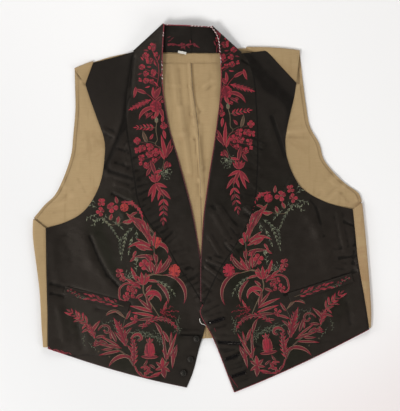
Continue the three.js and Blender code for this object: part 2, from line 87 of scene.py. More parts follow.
CENTRE_SEAM = {"neck": (-14, 234), "edge": (-17, 272.3)}
BAND_RISE = 16
FOLD_RADIUS = (1.2, 1.8)
HEM_BOW = {"left": 4.5, "right": 4}
HEM_DEPTH = 5
HEM_SHADE = (0.1, 0.7, 0.3, 0.2, 0.3)  # across the armhole's turned hem, towards its edge

# Sections across each front, from the shoulder to where the collar ends: outer edge, collar seam and
# the collar's free edge, each as x and y, then how far seam and free edge stand up.
SECTIONS = {
    "left": np.array([
        (-163, 219, -102, 235.5, -57.5, 274.6, 3.4, 13),
        (-175, 187, -107, 211, -60, 231, 1.5, 8),
        (-168, 165, -111, 188, -60, 189, 0.5, 3.5),
        (-158, 137, -114, 157, -56.7, 157, 0, 1.5),
        (-147, 105, -112.5, 118, -49.7, 120, 0, 0.6),
        (-146, 80, -107, 84, -38.7, 82, 0, 0.4),
        (-151, 45, -101, 45, -27.5, 42, 0, 0.4),
        (-163, 16, -96, 14, -17.5, 4, 0, 0.4),
        (-180, -6, -84, -13, -10.5, -30, 0, 0.3),
        (-205, -20, -69, -32, -6, -58, 0, 0.2),
        (-234, -29, -53, -54, -3, -76, 0, 0),
        (-233.5, -60, -34.5, -87, 0.2, -98, 0, 0),
        (-233, -95, -18, -110, 2.5, -117, 0, 0),
        (-232, -132, 1.5, -141.5, 4.8, -139.5, 0, 0),
    ]),
    "right": np.array([
        (97, 237, 58.5, 233, 15, 271, 3.4, 13),
        (119, 213, 64, 228.5, 21, 263, 2.4, 11.5),
        (141.5, 189, 69, 222, 25.5, 252, 1.5, 9),
        (139, 172, 74.5, 208, 28.3, 226, 0.8, 6),
        (136, 158, 78.5, 191, 29.7, 198, 0.4, 3.5),
        (131.5, 140, 81, 161, 28.2, 168, 0, 1.5),
        (127, 118, 83, 122, 24.4, 135, 0, 0.6),
        (125, 98, 83.5, 90, 19.2, 97, 0, 0.4),
        (128, 75, 83, 55, 12.4, 55, 0, 0.4),
        (138, 49, 80.5, 20, 7.4, 20, 0, 0.4),
        (153.6, 28, 75, -5, 3.6, -9, 0, 0.3),
        (187.5, 9.5, 61, -36, 1.5, -40, 0, 0.2),
        (226, -0.7, 43, -65.5, 0, -66, 0, 0),
        (229.5, -35, 27, -90, -1.2, -88, 0, 0),
        (233, -72, 12.8, -119, -1.2, -114, 0, 0),
        (238.5, -107, 2.5, -142, -1, -139, 0, 0),
    ]),
}
# Sections across the skirt of each front, below the collar: its side seam and its front edge.
SKIRTS = {
    "left": np.array([
        (-231.3, -155, 5.4, -166),
        (-231.3, -174, 2.3, -186),
        (-231.3, -189, -4.8, -210),
        (-231.3, -200, -12.8, -242),
        (-231.2, -208.7, -22.8, -267.4),
    ]),
    "right": np.array([
        (241.5, -123, -2, -155),
        (243.8, -137, 5, -171),
        (245.8, -149, 15, -188.5),
        (247.5, -160, 25.5, -213),
        (249.2, -171, 38, -245.5),
        (250.5, -180, 49, -274.5),
    ]),
}
CORNERS = {"left": ((1, 10), (13,)), "right": ((2, 12), (15,))}  # rows where an edge turns sharply

# Sections across each half of the back: the height of its centre seam, and its outer edge.
BACKS = {
    "left": np.array([
        (234, -191, 209),
        (210, -190.5, 184),
        (175, -190, 150),
        (140, -193.5, 107),
        (110, -196.5, 81),
        (75, -206.5, 50),
        (40, -220, 22),
        (15, -237, 5),
        (-10, -253.5, -15),
        (-50, -253.6, -43),
        (-95, -247.6, -91),
        (-140, -243.3, -129),
        (-170, -240.7, -177),
        (-194.5, -238.4, -207.7),
    ]),
    "right": np.array([
        (234, 146.7, 236),
        (212, 148.3, 219),
        (182, 151.8, 188),
        (150, 156, 157),
        (120, 162, 124),
        (95, 176, 98),
        (72, 183, 74),
        (48, 200, 52),
        (25, 217, 36.4),
        (5, 234.5, 24),
        (-15, 240.6, 9),
        (-70, 246.2, -48),
        (-120, 251, -105.5),
        (-165, 253.9, -153.5),
        (-194.5, 253.3, -178.5),
    ]),
}
ARMHOLE_END = {"left": 8, "right": 10}
SHOULDER_BOW = {"left": 13, "right": 6}
SHOULDER_TURN = {"left": (-163, 0.1), "right": (66, 0.19)}
CENTRE_LINE = {"x": -1.1, "slope": -0.0365, "bend": -7, "bend_from": 110, "bend_to": 200}

# Folds as ridges that run between two places: from x and y, to x and y, width and height.
SILK_FOLDS = np.array([
    (-250, -20, -238, -205, 26, 2.6), (242, 5, 250, -170, 26, 2.6), (100, 240, 146, 226, 16, 1),
    (-168, 219, -186, 208, 12, 0.9), (-75, 228, 40, 228, 24, 1.8), (-112, 155, -124, 104, 9, 1.3),
    (-124, 104, -138, 72, 8, 1.2), (-139, 57, -106, 48, 7, 1.2), (-178, -38, -164, -80, 12, 0.9),
    (-164, -80, -138, -114, 10, 0.8), (-96, 12, -118, -8, 7, 1.4), (-62, -42, -84, -70, 7, 1.4),
    (-32, -92, -50, -124, 7, 1.4), (62, 226, 96, 205, 10, 1.2), (96, 205, 126, 170, 9, 1.2),
    (98, 138, 115, 84, 9, 0.9), (22, -8, 50, -54, 8, 1.6), (70, 0, 96, -24, 7, 1.4),
    (150, 8, 176, -34, 10, 1.2), (176, -34, 190, -90, 11, 1.2), (-150, -150, -40, -190, 40, 1.2),
    (60, -170, 190, -140, 40, 1.2),
])
BACK_FOLDS = np.array([
    (-13, 129, -5.5, 43, 5, 1.2), (-46, 214, -33, 110, 6.5, 1.1), (-33, 150, -20, 56, 5, 1.1),
    (-27, 212, -23, 160, 5, 0.6), (4, 210, 3, 150, 7, 0.5), (18, 190, 8, 80, 7, 0.7),
    (130, 115, 153, 117, 6, 1.1), (182, 28, 204, 50, 6, 1.1), (-196, 20, -214, 44, 6, 0.9),
])
# Fine creases in the same columns. A groove has a negative height.
SILK_CREASES = np.array([
    (-103, 226, -108, 170, 3.2, -0.8), (-110, 180, -116.5, 132, 2.6, -1.4),
    (-116.5, 132, -126, 107, 2.6, -1.5), (-126, 107, -145, 62, 2.6, -1.5),
    (-128, 91, -111, 86, 2.2, -1.1), (-139, 57, -104, 46, 2.2, -1.5), (-134, 22, -108, 10, 2.4, -0.9),
    (-136, 66, -116, 60, 2.6, 0.8), (-130, 38, -108, 30, 2.6, 0.6), (-168, -42, -154, -76, 3.6, -1),
    (-154, -76, -141, -100, 3.4, -1.1), (-141, -100, -124, -118, 3.2, -1.2),
    (-158, -150, -110, -162, 3, -0.5), (-160, -229.5, -118, -241, 1.8, -0.9),
    (-60, -236, -30, -246, 2.4, -0.6), (8, -165, 34, -157.5, 2.2, 0.8),
    (12, -177, 35, -170.5, 2.2, 0.8), (22, -193.5, 60, -195.5, 2.4, 0.9),
    (26, -206.5, 58, -209, 2.4, 0.8), (34, -219, 56, -212, 2.2, 0.8),
    (38, -232.5, 58, -226.5, 2.2, 0.8), (44, -245, 66, -238, 2.2, 0.9),
    (48, -258.5, 68, -252, 2.2, 0.8), (200, -66, 236, -58, 3, 0.8), (206, -74, 238, -70, 2.6, -0.8),
    (196, -84, 234, -88, 2.8, 0.7), (214, -20, 228, -26, 2.6, -0.7), (-146, 118, -128, 108, 3, 0.8),
    (60, 222, 100, 200, 3, -0.8), (104, 196, 130, 164, 3.4, -0.8), (105.5, 136, 124, 80, 2.4, -1.6),
    (16, 4, 44, -44, 3.4, -0.7), (26, 2, 52, -34, 3.2, 0.8), (10, -40, 26, -66, 3, 0.6),
    (134, 44, 122, 16, 3, 0.7), (168, 14, 182, -40, 4, -0.7), (204, -6, 214, -60, 4, 0.8),
    (232, -20, 226, -90, 4, -0.7), (-31, -189.6, -1, -190.4, 1.9, -2),
    (-34, -185.6, -4, -186.2, 2.2, 1.1), (62, -190, 92, -205, 3, 0.7), (58, -222, 92, -228, 3, 0.7),
    (66, -248, 96, -244, 3, -0.6), (190, -130, 200, -175, 6, 0.9), (214, -128, 222, -172, 6, -0.6),
    (166, -150, 172, -186, 6, 0.7), (-214, -150, -206, -196, 6, 0.8),
    (-190, -160, -180, -206, 6, -0.6), (-224, -52, -216, -108, 7, 0.5),
    (-206, -40, -194, -84, 7, -0.4), (-226, -112.5, -108, -142, 2.6, -1.1),
    (-226, -127, -208, -131, 2.4, -0.8), (124, -129, 230, -94, 2.6, -1), (96, -4, 118, 6, 4, -0.5),
])
BACK_CREASES = np.array([
    (-19, 219, -17, 184, 2.8, 1.3), (-17, 184, -13, 142, 2.8, 1.5), (-13, 142, -10, 112, 2.8, 1.1),
    (-7.4, 108, -3, 62, 2.8, 1.3), (-3, 62, -0.4, 20, 2.8, 1.3), (-15.4, 217, -12.6, 182, 2, -0.9),
    (-12.6, 182, -8.4, 156, 2.2, -1.1), (-8.4, 156, -3.8, 146, 2.8, -0.7),
    (-3.8, 146, -5, 130, 3, -0.5), (-14.4, 130, -11.4, 122, 3, -0.4),
    (-11.4, 122, -10.8, 104, 2.8, -0.7), (-10.8, 104, -4.6, 48, 2.2, -0.9),
    (0, 126, 4, 60, 5.5, -0.45), (-35, 208, -27, 120, 5, -0.4), (-52, 200, -42, 150, 4, -0.25),
    (12, 200, 10, 130, 5, -0.25), (-36, 222.5, -24, 231, 2, 0.7), (-30, 221, -18, 226, 2, -0.6),
    (-52, 186, -34, 184, 3, 0.3), (2, 184, 14, 192, 3, 0.4), (6, 178, 20, 187, 3, -0.35),
    (-44, 112, -26, 112, 3, 0.3), (-228, 2, -204, 10, 4, 0.5), (-222, -6, -190, -2, 4, -0.4),
    (-206, 30, -184, 34, 4, 0.4), (-186, 44, -176, 26, 4, -0.4), (-234, -30, -238, -120, 3.4, 0.5),
    (232, 12, 214, 30, 4, 0.6), (226, 2, 206, 26, 4, -0.5), (198, 36, 180, 60, 4, 0.5),
    (242, -20, 247, -110, 3.4, 0.6), (236, -60, 243, -150, 3, -0.4), (120, 226, 128, 204, 4, 0.5),
    (132, 108, 158, 106, 4, -0.4), (174, 20, 196, 42, 4, -0.4), (190, 14, 212, 34, 4, 0.5),
    (-214, 12, -190, 34, 4, -0.35), (-186, 60, -176, 100, 4, 0.4), (-186, 190, -178, 140, 4, 0.5),
    (148, 210, 140, 170, 4, 0.5), (-188.5, 207, -175.5, 186, 1.8, -1.3),
    (147.6, 229, 144.6, 188, 2, -1.3),
])

# Small parts
CORD_SIDES = 10
GATHERS = 14  # round a button's cover
GATHER_HEIGHT = 0.00009  # in metres
TWIST_LENGTH = 7.0  # of the cord
STRIP_SINK = 0.15  # how far a buttonhole's binding reaches into the silk
STITCH_SINK = 0.15
STITCH_RADIUS = 0.22

# How far painted shade darkens each front towards its shoulder
SHOULDER_DARK = {"left": 0.55, "right": 0.5}
# Painted shade in deep folds of the silk where no light gets in, and darker rings round the buttons, in the
# same columns.
DEEP_FOLDS = {
    "left": np.array([
        (-103, 226, -112, 170, 4, 0.8), (-112, 170, -118, 122, 5, 0.8), (-118, 122, -144, 62, 5, 0.9),
        (-139, 56, -104, 45, 4, 0.9), (-8.5, -195, -8.4, -195, 7.2, 0.9),
        (-17.5, -226, -17.4, -226, 7.2, 0.9), (-28, -246.5, -27.9, -246.5, 7.6, 1),
    ]),
    "right": np.array([
        (66, 226, 101, 187, 9, 1), (101, 187, 134, 158, 9, 1), (134, 158, 128, 120, 6, 0.7),
        (104, 138, 125, 78, 4, 0.9),
    ]),
}
# Where the silk's ground turns greenish round the sprays, in the same columns.
GREEN_GROUND = {
    "left": np.array([
        (-140, 0, -85, -15, 22, 0.9), (-85, -15, -75, -80, 22, 0.9), (-75, -80, -60, -110, 22, 0.8),
        (-60, -110, -60, -200, 24, 0.9), (-60, -200, -110, -225, 22, 0.8),
        (-110, -225, -190, -165, 20, 0.8), (-158, -30, -132, -90, 13, 1),
    ]),
    "right": np.array([
        (123.6, 18, 71, -6, 22, 0.9), (71, -6, 72, -73, 22, 0.9), (72, -73, 62, -106, 22, 0.8),
        (62, -106, 77.5, -197, 24, 0.9), (77.5, -197, 132, -213, 22, 0.8),
        (132, -213, 202, -139, 20, 0.8),
    ]),
}
PUCKERS = {"left": (4.5, 13.4, 24), "right": (6.5, 14.6, 17)}  # along the collar seam: from, to, count

WELTS = {
    "welt_left": (-206.5, -122, -109, -147.5, 13.5),
    "welt_right": (130.5, -133.5, 226, -103, 14),
}
BUTTONS = ((-8.5, -195), (-17.5, -226), (-28, -246.5))
BUTTONHOLES = (
    (10.5, -171, 32.5, -164),
    (24.5, -200, 58.5, -202),
    (36, -226, 54, -219.5),
    (45, -252, 64.5, -245.5),
)
FACING = (-74, 44, 226, 14.5)  # from x, to x, middle y and depth
LOOSE_THREADS = (
    ((-3.6, -164.5), (-3, -168.6), (-0.8, -172.2), (2.6, -173.2), (5.6, -175)),
    ((11.4, -170.4), (12.8, -171.2)),
)
FRAYED_THREADS = (
    ((-230, -206.5), (-225, -211.5), (-219, -210.5), (-214, -215), (-208, -214.5)),
    ((-227, -211), (-221, -213.5), (-216, -212), (-211, -216), (-203, -217.5)),
    ((-212, -212), (-206, -215.5), (-199, -216.5), (-196, -219)),
)

# Lights in metres and watts: name, place, size and power
LIGHTS = (
    ("soft key", (-1.35, -1.15, 2.0), 0.9, 42),
    ("low left fill", (-2.4, 0.3, 1.0), 1.4, 26),
    ("side fill", (2.3, -1.4, 1.2), 1.6, 30),
    ("far fill", (0.6, 2.6, 1.2), 1.6, 34),
)
WORLD_LIGHT = 0.2
FLOOR_SIZE = 6
FLOOR_DROP = 0.0004
RAYS_FROM = 0.06  # in metres, above every surface
CAMERA_PLACE = (-0.003, 0.005, 2.4)
CAMERA_REACH = 2.397  # from the camera down to the cloth
SEEN_WIDTH = 0.6165  # what the camera sees there from side to side
SENSOR_WIDTH = 36  # in millimetres

SIDES = ("left", "right")
TOWARDS_EDGE = {"left": 1, "right": -1}
UP = np.array((0.0, 0.0, 1.0))
PLAIN_THREAD = (0.0, 0.0, 0.5, 1.0)
HEM_STITCHES = {"left": (-30, -2, 12), "right": (8, 30, 10)}  # from x, to x and places between


def smooth(start, end, x):
    """0 at the start and 1 at the end, eased between them."""
    t = np.clip((x - start) / (end - start), 0, 1)
    return t * t * (3 - 2 * t)


def mix(a, b, t):
    return a + (b - a) * t


def rise(folds, x, y):
    """Height at (x, y) that a table of folds adds."""
    x = np.asarray(x, float)
    height = np.zeros(np.broadcast(x, y).shape)
    for from_x, from_y, to_x, to_y, width, top in folds:
        along = (to_x - from_x, to_y - from_y)
        share = ((x - from_x) * along[0] + (y - from_y) * along[1]) / (along[0] ** 2 + along[1] ** 2)
        t = np.clip(share, 0, 1)
        away = np.hypot(x - from_x - t * along[0], y - from_y - t * along[1])
        height += top * np.exp(-((away / width) ** 2))
    return height


def waves(seed, count, shortest, longest):
    """A gentle uneven surface: a sum of seeded plane waves, about 1 high at most."""
    chance = random.Random(seed)
    made = []
    for _ in range(count):
        turn = chance.uniform(0, math.tau)
        rate = math.tau / chance.uniform(shortest, longest)
        made.append((rate * math.cos(turn), rate * math.sin(turn), chance.uniform(0, math.tau)))

    def height(x, y):
        total = sum(np.sin(kx * x + ky * y + phase) for kx, ky, phase in made)
        return total / math.sqrt(2 * count)

    return height


BROAD_SILK = waves(3, 14, 34, 90)
FINE_SILK = waves(4, 22, 9, 22)
BROAD_COTTON = waves(5, 14, 22, 60)
FINE_COTTON = waves(6, 22, 6, 16)


def back_folds(x, y):
    """Height that the back's folds and creases add."""
    return rise(BACK_FOLDS, x, y) + rise(BACK_CREASES, x, y)


def back_rise(x, y):
    """How far the back's lower side stands up from the floor."""
    fine = 0.42 * BROAD_COTTON(x, y) + 0.14 * FINE_COTTON(x, y) + 0.4
    return np.maximum(back_folds(x, y) + fine, 0)


def hollow(height, x, y):
    """How far a height field sinks in (above 0) or stands up (below 0) at each place, from -1 to 1; painted
    as shade in the hollows and highlight on the ridges.
    """
    found = 0
    for reach, gain in ((1.8, 1.0), (5.5, 0.3)):
        steps = (reach, 0), (-reach, 0), (0, reach), (0, -reach)
        around = sum(height(x + dx, y + dy) for dx, dy in steps)
        found = found + (around - 4 * height(x, y)) * gain
    return np.clip(found, -1, 1)


def hem_y(x):
    """Height of the back's straight hem at x."""
    left, right = BACKS["left"][-1], BACKS["right"][-1]
    return mix(left[2], right[2], (x - left[1]) / (right[1] - left[1]))


def past_hem(x, y):
    """How far (x, y) lies past the back's straight hem."""
    return hem_y(x) - y


def lie(x, y):
    """Middle of the silk's thickness where it lies at (x, y)."""
    down = (LIE - SILK / 2) * smooth(2, 20, past_hem(x, y))
    fine = 0.45 * BROAD_SILK(x, y) + 0.07 * FINE_SILK(x, y) + rise(SILK_CREASES, x, y)
    level = LIE - down + rise(BACK_FOLDS, x, y) + rise(SILK_FOLDS, x, y) + fine + rise(puckers(), x, y)
    return np.maximum(level, np.where(past_hem(x, y) > 2, SILK / 2 + 0.02, LIE - LOWEST_GROOVE))


def lie_right(x, y):
    """The right front climbs over the left one between where the collars meet and the edges part."""
    across = 1 - smooth(14, 60, x)
    along = (1 - smooth(-48, -8, y)) * smooth(-200, -176, y)
    return lie(x, y) + OVERLAP_LIFT * across * along


LEVEL = {"left": lie, "right": lie_right}


def through(points, corners=()):
    """A curve through points that turns sharply at the given corners."""
    points = np.asarray(points, float)
    if points.ndim == 1:
        points = points[:, None]
    count = len(points)

    def at(us):
        us = np.atleast_1d(np.asarray(us, float))
        i = np.minimum(np.floor(us).astype(int), count - 2)
        t = (us - i)[:, None]
        b, c = points[i], points[i + 1]
        starts = ((i == 0) | np.isin(i, corners))[:, None]
        ends = ((i + 2 == count) | np.isin(i + 1, corners))[:, None]
        a = np.where(starts, 2 * b - c, points[np.maximum(i - 1, 0)])
        d = np.where(ends, 2 * c - b, points[np.minimum(i + 2, count - 1)])
        slope_b, slope_c = (c - a) / 2, (d - b) / 2
        cubic = 2 * b - 2 * c + slope_b + slope_c
        square = 3 * (c - b) - 2 * slope_b - slope_c
        return b + t * (slope_b + t * (square + t * cubic))

    return at


def stations(step, *edges):
    """Places along a table's rows, about one step apart where the rows are furthest apart."""
    gaps = np.max([np.linalg.norm(np.diff(edge, axis=0), axis=1) for edge in edges], axis=0)
    found = []
    for i, gap in enumerate(gaps):
        parts = max(1, round(gap / step))
        found += [i + k / parts for k in range(parts)]
    found.append(len(gaps))
    inset = 0.6 / gaps[0], 0.6 / gaps[-1]
    return np.array([0, inset[0], *found[1:-1], len(gaps) - inset[1], len(gaps)])


def unit(vectors):
    return vectors / np.linalg.norm(vectors, axis=-1, keepdims=True)


def lifted(flat, level):
    """Flat points at the height that a level has there."""
    return np.column_stack([flat, level(flat[:, 0], flat[:, 1])])


def sideways(line):
    """Directions across an open line, to the left of its own direction."""
    run = unit(np.gradient(line, axis=0))
    return np.column_stack([-run[:, 1], run[:, 0]])


def span(start, end):
    """Both ends of a straight strip, its direction and the direction across it."""
    start, end = np.array(start, float), np.array(end, float)
    run = unit(end - start)
    return start, end, run, np.array((-run[1], run[0]))


def offset(line, by):
    """An open line moved sideways, to the left of its own direction when by is positive."""
    run = unit(np.diff(line, axis=0))
    total = np.vstack([run[:1], run]) + np.vstack([run, run[-1:]])
    scale = 2 * by / (total**2).sum(axis=1)
    return line + np.column_stack([-total[:, 1], total[:, 0]]) * scale[:, None]


def front_edges(side):
    """The sampled edges of one front and its half of the collar."""
    sections, skirt = SECTIONS[side], SKIRTS[side]
    out_points = np.vstack([sections[:, 0:2], skirt[:, 0:2]])
    seam_points = np.vstack([sections[:, 2:4], skirt[:, 2:4]])
    us = stations(ROW_STEP, out_points, seam_points)
    collar_us = us[us <= len(sections) - 1]
    return {
        "us": us,
        "out": through(out_points, CORNERS[side][0])(us),
        "seam": through(seam_points, CORNERS[side][1])(us),
        "free": through(sections[:, 4:6])(collar_us),
        "up": np.maximum(through(sections[:, 6:8])(collar_us), 0),
    }


EDGES = {side: front_edges(side) for side in SIDES}
_puckers = []


def corner_row(side, number):
    """The row of a front's edges nearest to a corner: 0 at the end of the shoulder, 1 under the arm."""
    return int(np.argmin(np.abs(EDGES[side]["us"] - CORNERS[side][0][number])))


def puckers():
    """Short ridges that the collar seam draws into both silks, as a table of folds."""
    if not _puckers:
        for side, (first, final, count) in PUCKERS.items():
            chance = random.Random(len(side))
            seam = through(np.vstack([SECTIONS[side][:, 2:4], SKIRTS[side][:, 2:4]]), CORNERS[side][1])
            for k in range(count):
                at = seam(mix(first, final, (k + chance.uniform(0.2, 0.8)) / count))[0]
                turn = chance.uniform(0.25, 0.75) if side == "left" else chance.uniform(2.3, 2.9)
                reach = chance.uniform(11, 26)
                back = chance.uniform(2, 8)
                run = np.array((math.cos(turn), math.sin(turn)))
                start, end = at - run * back, at + run * reach
                _puckers.append((*start, *end, chance.uniform(2.1, 3.6), chance.uniform(0.4, 1)))
    return _puckers


def edge_shares(count):
    """Shares of a row from 0 to 1, with a short step at each end for the turned edges."""
    inner = np.linspace(0, 1, count + 1)[1:-1]
    return np.concatenate([[0, EDGE_STEP], inner, [1 - EDGE_STEP, 1]])


def grid(at, normal, half):
    """A sheet's grid: the middle of the cloth, its normal, and half of its thickness on each side."""
    shape = at.shape[:2]
    return {
        "at": at,
        "normal": np.broadcast_to(normal, at.shape).copy(),
        "over": np.full(shape, float(half)),
        "under": np.full(shape, float(half)),
        "mask": np.ones(shape, bool),
    }


def stack(*parts):
    """Grids of the same number of columns, one below another."""
    return {key: np.concatenate([part[key] for part in parts]) for key in parts[0]}


def front_grid(side):
    """One front, from the collar seam or front edge out to the armhole and the side seam."""
    edges = EDGES[side]
    inner = offset(edges["seam"], TOWARDS_EDGE[side] * SEAM_LAP)
    t = edge_shares(FRONT_COLUMNS)
    down = np.linspace(0, 1, len(inner))[:, None]
    points = mix(inner[:, None], edges["out"][:, None], t[None, :, None])
    x = points[..., 0]
    y = points[..., 1] - HEM_BOW[side] * down**8 * 4 * t * (1 - t)
    lift = np.zeros(len(inner))
    lift[: len(edges["up"])] = edges["up"][:, 0]
    z = LEVEL[side](x, y) + lift[:, None] * (1 - smooth(0, 0.35, t))
    made = grid(np.dstack([x, y, z]), UP, SILK / 2)
    from_seam = t * np.linalg.norm(edges["out"] - inner, axis=1)[:, None]
    seam = 1 - smooth(0.4, 2.4, from_seam)
    seam[len(edges["up"]) :] = 0
    # Painted shade in the creases and along the collar seam, painted highlight on the ridges
    made["hollow"] = np.maximum(hollow(lie, x, y), seam)
    deep = rise(DEEP_FOLDS[side], x, y)
    # Painted shade towards the shoulders, in the deep folds and along the collar seam, and darker rings
    # round the buttons; it also makes the silk rougher
    made["shade_and_matte"] = np.clip(SHOULDER_DARK[side] * smooth(90, 190, y) + deep + seam, 0, 1)
    made["green"] = np.clip(rise(GREEN_GROUND[side], x, y), 0, 1)
    return made


def turned(edge, away, low, radius, angle):
    """Places and normals on cloth that turns over an edge: angle 0 is the lower layer, pi the upper."""
    out = radius * math.sin(angle)
    z = low + radius * (1 - math.cos(angle))
    at = np.column_stack([edge[:, 0] + away[:, 0] * out, edge[:, 1] + away[:, 1] * out, z])
    flat = away * math.sin(angle)
    return at, np.column_stack([flat, np.full(len(edge), -math.cos(angle))])


def collar_grid(side):
    """Half of the collar: its lapel, the fold beside the neck, and the band up to the centre seam."""
    edges = EDGES[side]
    rows = len(edges["free"])
    edge = offset(edges["seam"], -TOWARDS_EDGE[side] * SEAM_LAP)[:rows][::-1]
    free, up = edges["free"][::-1], edges["up"][::-1]
    t = edge_shares(COLLAR_COLUMNS)
    points = mix(edge[:, None], free[:, None], t[None, :, None])
    x, y = points[..., 0], points[..., 1]
    z = LEVEL[side](x, y) + mix(up[:, :1], up[:, 1:], t**1.5)
    lapel = grid(np.dstack([x, y, z]), UP, SILK / 2)

    top = lapel["at"][-1]
    along = free[-1] - edge[-1]
    away = unit(TOWARDS_EDGE[side] * np.array((-along[1], along[0])))
    radius = mix(*FOLD_RADIUS, t)
    fold = [
        turned(top, np.tile(away, (len(t), 1)), top[:, 2] - 2 * radius, radius, k / TURN_STEPS * math.pi)
        for k in range(TURN_STEPS - 1, -1, -1)
    ]
    low = fold[-1][0]
    centre = mix(np.array(CENTRE_SEAM["neck"]), np.array(CENTRE_SEAM["edge"]), t[:, None])
    centre = centre + (TOWARDS_EDGE[side] * SEAM_LAP * 0.5, 0)
    band = []
    for s in [*(np.arange(1, BAND_ROWS) / BAND_ROWS), 1 - EDGE_STEP, 1]:
        flat = mix(low[:, :2], centre, s)
        sag = 1.1 * math.sin(math.pi * s) * BROAD_SILK(flat[:, 0] * 1.7, flat[:, 1] * 0.8)
        z = mix(low[:, 2], LIE + BAND_RISE * t**1.3, smooth(0, 1, s)) + sag * np.sin(math.pi * t)
        band.append((np.column_stack([flat, z]), np.tile(-UP, (len(t), 1))))
    places, normals = zip(*fold, *band)
    made = stack(lapel, grid(np.array(places), np.array(normals), SILK / 2))
    # Painted shade in the creases, along the collar seam and at the centre seam, painted highlight on the
    # ridges
    made["hollow"] = np.zeros(made["mask"].shape)
    from_seam = t * np.linalg.norm(free - edge, axis=1)[:, None]
    made["hollow"][: len(x)] = np.maximum(hollow(lie, x, y), 1 - smooth(0.3, 2, from_seam))
    made["hollow"][-2:] = 0.8
    # Painted shade along the collar seam, on the inside of the fold and on the band, less of it towards the
    # band's middle; it also makes the silk rougher
    made["shade_and_matte"] = np.zeros(made["mask"].shape)
    made["shade_and_matte"][: len(x)] = 1 - smooth(0.3, 2, from_seam)
    made["shade_and_matte"][len(x) + TURN_STEPS // 2 :] = 1
    shares = np.linspace(0, 1, BAND_ROWS + 1)[:, None]
    made["shade_and_matte"][len(x) + TURN_STEPS :] = 1 - 0.32 * smooth(0.06, 0.4, shares)
    return made


FRONTS = {side: front_grid(side) for side in SIDES}
COLLARS = {side: collar_grid(side) for side in SIDES}


def centre_x(y):
    """Where the back's centre seam runs at the heights y."""
    line = CENTRE_LINE
    return line["x"] + line["slope"] * y + line["bend"] * smooth(line["bend_from"], line["bend_to"], y)


def lengths_along(line):
    return np.concatenate([[0], np.cumsum(np.linalg.norm(np.diff(line, axis=0), axis=1))])


def at_share(line, shares):
    """The points that shares of a line's length reach."""
    reached = lengths_along(line)
    want = np.asarray(shares) * reached[-1]
    return np.column_stack([np.interp(want, reached, line[:, k]) for k in range(line.shape[1])])


def at_height(line, y):
    """The points of a line that runs down the garment at the heights y."""
    down = line[::-1]
    x = np.interp(y, down[:, 1], down[:, 0])
    return np.column_stack([x, np.clip(y, down[0, 1], down[-1, 1])])


def turn_radius(x, y):
    """Radius with which the back turns up to the level of the silk."""
    return (lie(x, y) - BACK_CLOTH / 2) / 2


